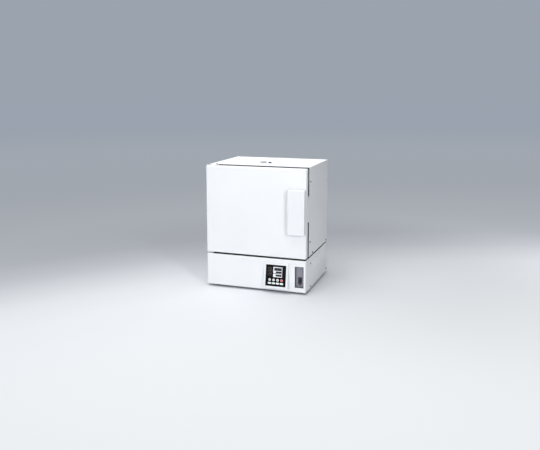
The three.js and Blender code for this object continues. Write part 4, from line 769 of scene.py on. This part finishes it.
WINDOW_RIGHT = 24.6
MAIN_WINDOW = (31.6, 11, 26.6)  # width, height and rise of the middle
SMALL_WINDOW = (24.6, 6.8, 14.5)
SMALL_WINDOW_PITCH = 13.2
SURROUND_X = (-11.6, 27)
SURROUND_Y = (-6, 36)
SURROUND_SPLIT = (7.9, 9.9)
WINDOW_MARGIN = 0.5
PRINT_THICK = 0.14
PRINT_LEVELS = (HAIR - FACE_RECESS, PRINT_THICK - FACE_RECESS)
PANE_FRONT = 0.73  # behind the bezel's front rim
KEY_PITCH = 17.2
KEY_DROP = 18
KEY_LABEL = (14.4, 7.6, 31.8)
KEY_LABEL_CORNER = 2.2
KEY_NAMES = ["key_down", "key_up", "key_function", "key_run"]
DIGITS = 4
DIGIT_WIDTH_SHARE = 0.5
DIGIT_HEIGHT_SHARE = 0.72
LAMP_COLUMN_X = (-35, -17)
LAMP_ROWS = 6
LAMP_Y = (1, 31)
LAMP_SIZE = (3.4, 2)
LAMP_FRONT = 0.4
LAMP_CORNERS = (0.6, 0.2)  # round corners, and the round edge in front
BAR_GAP = 2
BAR_WIDTH = 1.8
SEGMENTS = [((0.1, 1), (0.9, 1)), ((0.1, 0.5), (0.9, 0.5)), ((0.1, 0), (0.9, 0)),
            ((0, 0.56), (0, 0.94)), ((0, 0.06), (0, 0.44)),
            ((1, 0.56), (1, 0.94)), ((1, 0.06), (1, 0.44))]
SEGMENT_STROKE = 0.75
SEGMENT_LEAN = 0.1
SEGMENT_POINT = 0.2


def add_print(bm, outline, place):
    """Ink on the controller's film."""
    add_prism(bm, outline, place, *PRINT_LEVELS)


def window_ends(window, drop=0):
    width, height, rise = window
    return (WINDOW_RIGHT - width, WINDOW_RIGHT), around(rise - drop, height)


def surround(name, place, y_ends, windows):
    """A white printed field with its windows left open."""
    margin = WINDOW_MARGIN
    xs = sorted({*SURROUND_X, *(x[0] - margin for x, y in windows), WINDOW_RIGHT + margin})
    ys = sorted({*y_ends, *(v for x, y in windows for v in (y[0] - margin, y[1] + margin))})
    holes = [(i, j) for x, y in windows for i, left in enumerate(xs[:-1]) for j, low in enumerate(ys[:-1])
             if x[0] - margin <= left < x[1] and y[0] - margin <= low < y[1]]
    bm = bmesh.new()
    add_panel(bm, xs, ys, holes, place, *PRINT_LEVELS)
    finished(name, bm, "key_white")


def add_digit(bm, place, x, y, width, height):
    """One unlit seven-segment digit, leaning a little to the right."""
    for ends in SEGMENTS:
        first, second = [Vector((x + share_x * width + SEGMENT_LEAN * share_y * height, y + share_y * height))
                         for share_x, share_y in ends]
        along = (second - first).normalized()
        across = Vector((-along.y, along.x)) * SEGMENT_STROKE / 2
        tip = along * SEGMENT_STROKE / 2
        outline = [first - tip * SEGMENT_POINT, first + tip - across, second - tip - across,
                   second + tip * SEGMENT_POINT, second - tip + across, first + tip + across]
        add_prism(bm, [(p.x, p.y) for p in outline], place, -PANE_FRONT - HAIR / 2, -PANE_FRONT + HAIR / 2)


def add_display():
    """White fields round three smoked panes, with unlit digits in them."""
    place = controller_place()
    main = window_ends(MAIN_WINDOW)
    middle = window_ends(SMALL_WINDOW)
    lower = window_ends(SMALL_WINDOW, SMALL_WINDOW_PITCH)
    surround("display_surround_upper", place, (SURROUND_SPLIT[1], SURROUND_Y[1]), [main, middle])
    surround("display_surround_lower", place, (SURROUND_Y[0], SURROUND_SPLIT[0]), [lower])

    panes = bmesh.new()
    digits = bmesh.new()
    lap = WINDOW_MARGIN - HAIR
    for (left, right), (bottom, top) in (main, middle, lower):
        outline = rounded_outline((left - lap, right + lap), (bottom - lap, top + lap), lap, 2)
        add_prism(panes, outline, place, -FACE_RECESS + HAIR / 2, -PANE_FRONT)
        pitch = (right - left) / DIGITS
        width = DIGIT_WIDTH_SHARE * pitch
        height = DIGIT_HEIGHT_SHARE * (top - bottom)
        for index in range(DIGITS):
            start = left + (index + 0.5) * pitch - width / 2 - SEGMENT_LEAN * height / 2
            add_digit(digits, place, start, (bottom + top - height) / 2, width, height)
    finished("display_panes", panes, "smoked_lens")
    finished("display_digits", digits, "smoked_lens", material=SEGMENT_INK)


def key_x(index):
    return (index - (len(KEY_NAMES) - 1) / 2) * KEY_PITCH


def add_controller_print():
    """The keys' white labels, and a column of small lamps with a printed bar beside each."""
    place = controller_place()
    labels = bmesh.new()
    width, height, drop = KEY_LABEL
    for index in range(len(KEY_NAMES)):
        outline = rounded_outline(around(key_x(index), width), around(-drop, height), KEY_LABEL_CORNER)
        add_print(labels, outline, place)
    finished("key_labels", labels, "key_white")

    lamps = bmesh.new()
    bars = bmesh.new()
    left, right = LAMP_COLUMN_X
    width, height = LAMP_SIZE
    corner, edge = LAMP_CORNERS
    for y in between(*LAMP_Y, LAMP_ROWS):
        outline = rounded_outline((left, left + width), around(y, height), corner)
        add_prism(lamps, outline, place, -FACE_RECESS + HAIR, -FACE_RECESS + LAMP_FRONT, edge)
        outline = rounded_outline((left + width + BAR_GAP, right), around(y, BAR_WIDTH), FINE_EDGE)
        add_print(bars, outline, place)
    finished("indicator_lamps", lamps, "grey_plastic", material=FAINT_INK)
    finished("indicator_bars", bars, "grey_plastic", material=FAINT_INK)


KEY_RADIUS = 5.3
KEY_BACK = -3.3
KEY_CAP = 0.2
# Radius and height, from the flange behind the film to the middle of the cap
KEY_PROFILE = [
    (0, KEY_BACK - 1), (KEY_RADIUS + 1.2, KEY_BACK - 1), (KEY_RADIUS + 1.2, KEY_BACK), (KEY_RADIUS, KEY_BACK),
    (KEY_RADIUS, KEY_CAP - 0.6), (KEY_RADIUS - 0.12, KEY_CAP - 0.3), (KEY_RADIUS - 0.5, KEY_CAP - 0.1),
    (KEY_RADIUS - 1.6, KEY_CAP), (0, KEY_CAP),
]
MARK_SIZE = 2.1
MARK_ROUND = 0.4
BAR_MARK_WIDTH = 1.26


def add_keys():
    """Four slightly domed caps with a small mark on each."""
    place = controller_place()

    def fan(turns, tilt):
        return [(MARK_SIZE * sin(turn * tau), tilt * MARK_SIZE * cos(turn * tau))
                for turn in turns]

    marks = {
        "key_down": fan((0, 1 / 3, 2 / 3), -1),
        "key_up": fan((0, 2 / 3, 1 / 3), 1),
        "key_function": fan((0.25, 0, 0.75, 0.5), 1),
        "key_run": rounded_outline(around(0, BAR_MARK_WIDTH), around(0, 2 * MARK_SIZE), MARK_ROUND, 2),
    }
    for index, name in enumerate(KEY_NAMES):
        middle = place @ Matrix.Translation((key_x(index), -KEY_DROP, 0))
        bm = bmesh.new()
        add_turned(bm, KEY_PROFILE, middle)
        finished(f"{name}_cap", bm, "key_red" if name == "key_run" else "key_white", name, name)
        bm = bmesh.new()
        add_prism(bm, marks[name], middle, KEY_CAP, KEY_CAP + HAIR)
        finished(f"{name}_mark", bm, "black_plastic", name, material=DARK_INK)


# Breaker

BREAKER_FLANGE = 2
LINER_WALL = 0.9
LINER_INSET = 1
LEVER_TILT = radians(20)
LEVER_WIDTH = 8.6
LEVER_HUB = 6
LEVER_REACH = 28
LEVER_GRIP = (12.8, 4.5, 8.5)
LEVER_THICK = 5
GRIP_RIB_PITCH = 2.1
RIM_X = (-9.6, -7.6, 7.6, 9.6)  # both from the lever's pivot
RIM_Z = (-21.4, -19.4, 15.2, 17.2)
RIM_HEIGHT = 0.9
RIM_EDGE = 0.35
PLATE_DOWN = 13
PLATE_THICK = 0.3
SLOT_HALF = 10.5
SLOT_ROOM = 0.3
MARK_ASIDE = 3.4
MARK_RISE = 9
MARK_TALL = 3.6
MARK_STROKE = 0.8
# The small window at the recess's upper right: insets from there, width, height and corner
WINDOW_INSET = (2, 3)
WINDOW_SIZE = (11, 4.5)
WINDOW_CORNER = 0.8
WINDOW_FRONT = (0.35, 0.15)  # height and its edge's round


def add_breaker_front():
    """Dark grey walls in the recess, painting its shade, and what is raised or printed on the breaker's front."""
    low, high = box("breaker_body")
    x_ends = (low.x + BREAKER_FLANGE, high.x - BREAKER_FLANGE)
    z_ends = (low.z + BREAKER_FLANGE, high.z - BREAKER_FLANGE)
    face = box("base_front_panel")[0].y
    front = Matrix.Translation((0, low.y, 0)) @ UPRIGHT
    pivot = Vector(joint("breaker_lever_tip")["pos_m"]) / MM

    # The recess walls in dark grey: painted shade
    xs, ys = [[a + HAIR, a + LINER_WALL, b - LINER_WALL, b - HAIR] for a, b in (x_ends, z_ends)]
    bm = bmesh.new()
    add_panel(bm, xs, ys, [(1, 1)], front, HAIR, low.y - face - LINER_INSET)
    finished("breaker_recess_shade", bm, "grey_plastic", material=DARK_GREY_AND_RECESS_SHADE)

    xs = [pivot.x + x for x in RIM_X]
    ys = [pivot.z + z for z in RIM_Z]
    bm = bmesh.new()
    add_panel(bm, xs, ys, [(1, 1)], front, HAIR, RIM_HEIGHT)
    bmesh.ops.recalc_face_normals(bm, faces=bm.faces)
    ridge = [e for e in bm.edges if e.calc_face_angle(0) > 1
             and all(abs((front.inverted() @ (v.co / MM)).z - RIM_HEIGHT) < HAIR for v in e.verts)]
    rounded(bm, ridge, RIM_EDGE, 2)
    finished("breaker_rim", bm, "grey_plastic")

    half_slot = LEVER_WIDTH / 2 + SLOT_ROOM
    plate_xs = [xs[1] + HAIR, pivot.x - half_slot, pivot.x + half_slot, xs[2] - HAIR]
    plate_ys = [pivot.z + s for s in (-PLATE_DOWN, -SLOT_HALF, SLOT_HALF, RIM_Z[2] - HAIR)]
    bm = bmesh.new()
    add_panel(bm, plate_xs, plate_ys, [(1, 1)], front, HAIR, PLATE_THICK)
    finished("breaker_plate", bm, "black_plastic")

    bm = bmesh.new()
    x = xs[0] - MARK_ASIDE
    bar = rounded_outline(around(x, MARK_STROKE), around(pivot.z + MARK_RISE, MARK_TALL), MARK_STROKE / 4, 2)
    add_prism(bm, bar, front, HAIR, 3 * HAIR)
    outer = MARK_TALL / 2
    inner = outer - MARK_STROKE
    circle = [(inner, HAIR), (outer, HAIR), (outer, 3 * HAIR), (inner, 3 * HAIR)]
    add_turned(bm, circle, front @ Matrix.Translation((x, pivot.z - MARK_RISE, 0)), closed=True)
    finished("breaker_marks", bm, "black_plastic", material=DARK_INK)

    bm = bmesh.new()
    right = x_ends[1] - LINER_WALL - WINDOW_INSET[0]
    top = z_ends[1] - LINER_WALL - WINDOW_INSET[1]
    outline = rounded_outline((right - WINDOW_SIZE[0], right), (top - WINDOW_SIZE[1], top), WINDOW_CORNER)
    add_prism(bm, outline, front, HAIR, *WINDOW_FRONT)
    finished("breaker_window", bm, "grey_plastic", material=DARK_GREY_AND_RECESS_SHADE)


def add_breaker_lever():
    """The toggle: a round hub, a tapered stem and a ribbed cross grip; below it the test button."""
    pivot = Vector(joint("breaker_lever_tip")["pos_m"]) / MM
    place = Matrix.Translation(pivot) @ Matrix.Rotation(-LEVER_TILT, 4, "X")
    width, length, thick = LEVER_GRIP
    half = LEVER_WIDTH / 2
    hub = LEVER_HUB
    edge = FINE_EDGE
    bm = bmesh.new()
    add_turned(bm, [(0, -half), (hub - edge, -half), (hub, -half + edge), (hub, half - edge),
                    (hub - edge, half), (0, half)], place @ Matrix.Rotation(pi / 2, 4, "Y"))
    add_box(bm, (-half, -LEVER_REACH + length - EDGE, -LEVER_THICK / 2), (half, 0, LEVER_THICK / 2),
            place, EDGE)
    add_box(bm, (-width / 2, -LEVER_REACH + EDGE, -thick / 2), (width / 2, -LEVER_REACH + length, thick / 2),
            place, 2 * EDGE, 4)
    for step in (-1, 0, 1):
        z = step * GRIP_RIB_PITCH
        add_box(bm, (-width / 2 + 2 * EDGE, -LEVER_REACH, z - EDGE),
                (width / 2 - 2 * EDGE, -LEVER_REACH + 2 * EDGE, z + EDGE), place, edge, 2)
    finished("breaker_toggle", bm, "black_plastic", "breaker_lever", "breaker_lever")

    bm = bmesh.new()
    add_box(bm, *box("breaker_test_button"), edge=EDGE)
    finished("breaker_button", bm, "test_red", "breaker_test_button", "breaker_test_button")


# Top: damper dial and exhaust cap

KNOB_FLUTES = 24
FLUTE_DEPTH = 0.35
KNOB_SKIRT = 1.2
KNOB_STEP = 0.6
KNOB_BAR = (4, 1.2, 1.8)  # width, height and the round of its ends
POINTER_X = (1, 1.2)  # from the middle, and short of the knob's edge
POINTER_SIZE = (0.8, 0.25)  # width and the round of its ends
CAP_RING = 3.4
CAP_COLLAR = 12.7
CAP_GAP = 0.3
CAP_SIDES = 64
CAP_BAR = 2
CAP_BAR_LAP = 0.4
CAP_BAR_DEPTH = 1.9
CAP_BAR_EDGE = 0.35
CAP_PITCH = 4.4


def add_damper_dial():
    """A low fluted knob on a skirt, with a bar to turn it by and a white pointer on the bar."""
    place, radius, height = round_node("damper_knob")
    bar_width, bar_height, bar_round = KNOB_BAR
    shoulder = height - bar_height
    body = radius - KNOB_STEP
    bm = bmesh.new()
    add_turned(bm, [(0, 0), (radius - 0.2, 0), (radius, 0.2), (radius, KNOB_SKIRT - 0.4),
                    (radius - 0.3, KNOB_SKIRT), (body - 0.4, KNOB_SKIRT)], place, 2 * SIDES)
    add_turned(bm, [(0, KNOB_SKIRT / 2), (body, KNOB_SKIRT / 2), (body, shoulder - 0.6),
                    (body - 0.2, shoulder - 0.2), (body - 0.7, shoulder), (0, shoulder)],
               place, 4 * SIDES, KNOB_FLUTES, FLUTE_DEPTH)
    grip = rounded_outline((-body + EDGE, body - EDGE), around(0, bar_width), bar_round)
    add_prism(bm, grip, place, shoulder - EDGE, height - 2 * HAIR, EDGE, 3)
    finished("damper_dial", bm, "black_plastic", "damper", "damper_knob", KNOB)

    bm = bmesh.new()
    width, end_round = POINTER_SIZE
    line = rounded_outline((POINTER_X[0], body - POINTER_X[1]), around(0, width), end_round, 3)
    add_prism(bm, line, place, height - 3 * HAIR, height)
    finished("damper_pointer", bm, "key_white", "damper")


def add_exhaust_cap():
    """A turned ring with a slotted plate inside it, and a collar in the hole."""
    place, radius, top = round_node("exhaust_grille")
    rim = box("cabinet_wrap")[1].z + CAP_GAP - place.translation.z
    inside = radius - CAP_RING
    bm = bmesh.new()
    add_turned(bm, [(inside, 0), (CAP_COLLAR, 0), (CAP_COLLAR, rim), (radius, rim),
                    (radius, top - 0.6), (radius - EDGE, top - 0.1), (radius - 1.2, top),
                    (inside + EDGE, top), (inside, top - EDGE)], place, CAP_SIDES, closed=True)
    half = CAP_BAR / 2
    for step in (-1.5, -0.5, 0.5, 1.5):
        x = step * CAP_PITCH
        reach = sqrt((inside + CAP_BAR_LAP) ** 2 - (abs(x) - half) ** 2)
        add_box(bm, (x - half, -reach, top - CAP_BAR_DEPTH), (x + half, reach, top - EDGE), place,
                CAP_BAR_EDGE, 2)
    finished("exhaust_cap", bm, "zinc_steel", replaced="exhaust_grille", material=AGED_ZINC)


# Feet and gland

FOOT_HOLLOW = [(0, 2.2), (4, 2.2), (5, 0)]
FOOT_TAPER = 2.6
FOOT_RIBS = 3
FOOT_RIB_START = 1.8
FOOT_RIB_PITCH = 2


def add_feet():
    """Ribbed rubber feet, each with a shallow hollow up inside."""
    for end in ("front", "rear"):
        for side in ("left", "right"):
            name = f"foot_{end}_{side}"
            place, radius, height = round_node(name)
            top_radius = radius - FOOT_TAPER
            profile = [*FOOT_HOLLOW, (radius - 1.4, 0), (radius - 0.4, 0.4), (radius, 1.4)]
            for rib in range(FOOT_RIBS):
                level = FOOT_RIB_START + rib * FOOT_RIB_PITCH
                reach = radius + (top_radius - radius) * rib / FOOT_RIBS
                profile += [(reach, level), (reach - 0.8, level + 0.5),
                            (reach - 0.8, level + 1.1), (reach - 0.5, level + 1.6)]
            profile += [(top_radius, height - 0.3), (top_radius - 0.6, height), (0, height)]
            bm = bmesh.new()
            add_turned(bm, profile, place)
            finished(f"rubber_{name}", bm, "foot_rubber", replaced=name)


GLAND_HEX = 13
NUT_HEX = 12.6
GLAND_BORE = 4.5
GLAND_BODY = (8, 7)  # radius and its outer end
GLAND_COLLAR = (0.3, 6.4, 0.8)  # inner end, outer end and the round of its rim
GLAND_NUT = (-5, -1.5, 0.6)
SEAL_START = 7.4
SEAL_WALL = 0.95
DOME_FLUTES = (12, 0.7)  # how many and how deep
# Radius and depth, up to where the dome's lip begins
DOME = [(5.5, 6.6), (11.4, 6.6), (11.8, 7.2), (11.8, 15), (11, 17.5), (9.4, 20.6)]


def hexagon(radius):
    return [(radius * cos(pi * k / 3), radius * sin(pi * k / 3)) for k in range(6)]


def add_gland():
    """The mains inlet: a hexagon against the panel, a ribbed dome nut and a rubber seal in its bore."""
    low, high, middle = measured("cable_gland")
    rear = box("base_rear_panel")[1].y
    place = Matrix.Translation((middle.x, rear, middle.z)) @ Matrix.Rotation(-pi / 2, 4, "X")
    reach = high.y - rear
    inside = low.y - rear
    bore = GLAND_BORE
    bm = bmesh.new()
    add_prism(bm, hexagon(GLAND_HEX), place, *GLAND_COLLAR)
    add_prism(bm, hexagon(NUT_HEX), place, *GLAND_NUT)
    radius, end = GLAND_BODY
    add_turned(bm, [(bore, inside), (radius, inside), (radius, end), (bore, end)], place, closed=True)
    dome = [*DOME, (7.6, reach - 0.6), (6.4, reach), (bore + 1.1, reach - 0.2), (bore + 1, reach - 1.5)]
    add_turned(bm, dome, place, 3 * SIDES, *DOME_FLUTES, closed=True)
    finished("gland_body", bm, "black_plastic", replaced="cable_gland")

    bm = bmesh.new()
    wall = bore + SEAL_WALL
    add_turned(bm, [(bore, SEAL_START), (wall, SEAL_START), (wall, reach - 1.2), (bore + EDGE, reach - 0.7),
                    (bore, reach - 1)], place, closed=True)
    finished("gland_seal", bm, "foot_rubber")


# Rubber in the gaps: edging, strip and buffers, dark to paint the gaps' shade, and the door's seal

TRIM_WIDTH = 11
TRIM_THICK = 2.2
TRIM_INSET = 0.4
TRIM_ROOM = 2.5
STRIP_ROOM = 1
STRIP_INSET = 4
STRIP_THICK = 0.9
BUFFER_RADIUS = 2.8
BUFFER_INSET = 6
BUFFER_ROOM = 0.6
SEAL_WIDTH = 16
SEAL_CORNER = 28
# Shares of the seal's width, outwards, and of its depth, from the door
SEAL_HALF = [(0.5, 0.12), (0.42, 0.2), (0.24, 0.26), (0.34, 0.42), (0.38, 0.6), (0.3, 0.82), (0.14, 0.96)]
SEAL_SHARES = [(-0.5, 0), (0.5, 0), *SEAL_HALF, (0, 1), *((-out, deep) for out, deep in reversed(SEAL_HALF))]


def add_gap_shade_trim():
    """Dark rubber edging on the cabinet's front rim, painted shade for the gap round the door; it leaves room for
    the hinges and the latch.
    """
    low, high = box("front_frame")
    upper_low, upper_high = box("hinge_bracket_upper")
    lower_high = box("hinge_bracket_lower")[1]
    latch_low, latch_high = box("latch_arm")
    left, right = low.x + TRIM_INSET, high.x - TRIM_INSET
    bottom, top = low.z + TRIM_INSET, high.z - TRIM_INSET
    bars = [
        ((upper_high.x + TRIM_ROOM, right), (top - TRIM_WIDTH, top)),
        ((lower_high.x + TRIM_ROOM, right), (bottom, bottom + TRIM_WIDTH)),
        ((left, left + TRIM_WIDTH), (lower_high.z + TRIM_ROOM, upper_low.z - TRIM_ROOM)),
        ((right - TRIM_WIDTH, right), (latch_high.z + TRIM_ROOM, top - TRIM_WIDTH)),
        ((right - TRIM_WIDTH, right), (bottom + TRIM_WIDTH, latch_low.z - TRIM_ROOM)),
    ]
    bm = bmesh.new()
    for x, z in bars:
        add_box(bm, (x[0], low.y - TRIM_THICK, z[0]), (x[1], low.y - HAIR, z[1]), edge=EDGE, steps=2)
    # Painted shade: the edging's dark rubber stands in for the shade in the door gap
    finished("gap_shade_trim", bm, "foot_rubber")


def add_base_gap_shade_strip():
    """A dark rubber strip along the base's top edge, painting the shade of the gap under the door."""
    low, high = box("base_front_panel")
    start = box("hinge_bracket_lower")[1].x + STRIP_ROOM
    bm = bmesh.new()
    add_box(bm, (start, low.y + STRIP_INSET, high.z + HAIR),
            (high.x - STRIP_INSET, high.y - STRIP_INSET, high.z + STRIP_THICK), edge=FINE_EDGE, steps=2)
    # Painted shade: the strip's dark rubber darkens the gap under the door
    finished("base_gap_shade_strip", bm, "foot_rubber")


def add_latch_shade_buffers():
    """Two dark rubber buffers above and below the latch, painting the shade at the latch's ends; the closed door
    comes to rest near them.
    """
    frame_low, frame_high = box("front_frame")
    latch_low, latch_high = box("latch_arm")
    reach = frame_low.y - box("door_outer_shell")[1].y - PANEL_SHEET - BUFFER_ROOM
    radius = BUFFER_RADIUS
    x = frame_high.x - BUFFER_INSET + radius
    aside = radius + BUFFER_ROOM
    profile = [(0, HAIR), (radius, HAIR), (radius, reach - 0.8), (radius - 0.25, reach - 0.25),
               (radius - 0.8, reach), (0, reach)]
    bm = bmesh.new()
    for z in (latch_low.z - aside, latch_high.z + aside):
        add_turned(bm, profile, towards((x, frame_low.y, z), (0, -1, 0)), SIDES // 2)
    # Painted shade: the buffers' dark rubber darkens the latch's ends in the gap
    finished("door_latch_shade_buffers", bm, "foot_rubber")


def add_seal():
    """The door's seal: a bulb on a flat foot, swept round the chamber's mouth."""
    low, high = box("door_gasket")
    depth = high.y - low.y
    half = SEAL_WIDTH / 2
    path = rounded_outline((low.x + half, high.x - half), (low.z + half, high.z - half),
                           SEAL_CORNER, BEND_STEPS)
    rings = []
    bm = bmesh.new()
    for index, (x, z) in enumerate(path):
        quarter, step = divmod(index, BEND_STEPS + 1)
        angle = (quarter + step / BEND_STEPS) * pi / 2
        out = Vector((cos(angle), 0, sin(angle)))
        rings.append(add_points(bm, [Vector((x, low.y + deep * depth, z)) + out * (share * SEAL_WIDTH)
                                     for share, deep in SEAL_SHARES]))
    join_rings(bm, rings, True)
    finished("door_seal", bm, "gasket_silicone", "door", "door_gasket", sharp=60)


# Inside: shelves, heater and the handle's spring

SHELF_WIRE = 1.3
SHELF_WIRES = 11
SHELF_CORNER = 9
CROSS_ROD_SHARE = 0.75
ROD_SIDES = 16
HEATER_RADIUS = 4
HEATER_RUNS = 8
HEATER_SIDES = 20
HEATER_REAR_ROOM = 17
CHAMBER_SHEET = 1
SPRING_TURNS = 6
SPRING_WIRE = 0.7
SPRING_STEPS = 24
SPRING_SIDES = 10
SPRING_CLOSED = 0.09


def add_shelf(name):
    """A wire shelf: a bent rod frame, a cross rod and the wires welded to them."""
    low, high, middle = measured(name)
    rod = (high.z - low.z) / 2
    outline = rounded_outline((low.x + rod, high.x - rod), (low.y + rod, high.y - rod), SHELF_CORNER)
    bm = bmesh.new()
    add_tube(bm, [(x, y, middle.z) for x, y in outline], rod, ROD_SIDES, True)
    thin = rod * CROSS_ROD_SHARE
    z = middle.z - rod + thin
    ends = [(x, middle.y, z) for x in (low.x + rod, high.x - rod)]
    add_tube(bm, ends, thin, ROD_SIDES)
    pitch = (high.x - low.x - 2 * rod) / (SHELF_WIRES + 1)
    top = high.z - SHELF_WIRE
    for wire in range(1, SHELF_WIRES + 1):
        x = low.x + rod + wire * pitch
        add_tube(bm, [(x, low.y + rod, top), (x, high.y - rod, top)], SHELF_WIRE)
    finished(f"wire_{name}", bm, "stainless", replaced=name)


def add_heater():
    """A tubular heater that runs to and fro, with smooth bends and both ends at the rear."""
    low, high, middle = measured("heater_element")
    radius = HEATER_RADIUS
    first = low.x + radius
    pitch = (high.x - low.x - 2 * radius) / (HEATER_RUNS - 1)
    bend = pitch / 2
    front = low.y + radius + bend
    rear = box("inner_chamber")[1].y - CHAMBER_SHEET - HEATER_REAR_ROOM - bend
    path = [(first, high.y, middle.z)]
    for run in range(HEATER_RUNS - 1):
        centre = first + (run + 0.5) * pitch
        for step in range(BEND_STEPS + 1):
            angle = pi * step / BEND_STEPS
            swing = bend * sin(angle)
            y = rear + swing if run % 2 else front - swing
            path.append((centre - bend * cos(angle), y, middle.z))
    path.append((high.x - radius, high.y, middle.z))
    bm = bmesh.new()
    add_tube(bm, path, radius, HEATER_SIDES)
    finished("heater_tube", bm, "heater_steel", replaced="heater_element")


def add_spring():
    """The handle's return spring, with its end turns closed up."""
    place, radius, height = round_node("handle_spring")
    reach = radius - SPRING_WIRE
    path = []
    for share in between(0, 1, SPRING_TURNS * SPRING_STEPS + 1):
        climb = share - SPRING_CLOSED * sin(tau * share)
        angle = tau * SPRING_TURNS * share
        z = SPRING_WIRE + climb * (height - 2 * SPRING_WIRE)
        path.append(place @ Vector((reach * cos(angle), reach * sin(angle), z)))
    bm = bmesh.new()
    add_tube(bm, path, SPRING_WIRE, SPRING_SIDES)
    finished("spring_coil", bm, "zinc_steel", "door", "handle_spring")


add_camera()
add_floor()
add_world()
for lamp_name, lamp_setting in LAMPS.items():
    add_lamp(lamp_name, *lamp_setting)
dress_nodes()
add_cabinet_screws()
add_door_screws()
add_hinge_screws()
add_rack_screws()
add_display()
add_controller_print()
add_keys()
add_breaker_front()
add_breaker_lever()
add_damper_dial()
add_exhaust_cap()
add_feet()
add_gland()
add_seal()
add_gap_shade_trim()
add_base_gap_shade_strip()
add_latch_shade_buffers()
add_shelf("shelf_lower")
add_shelf("shelf_upper")
add_heater()
add_spring()

bpy.context.scene.view_settings.view_transform = "Standard"
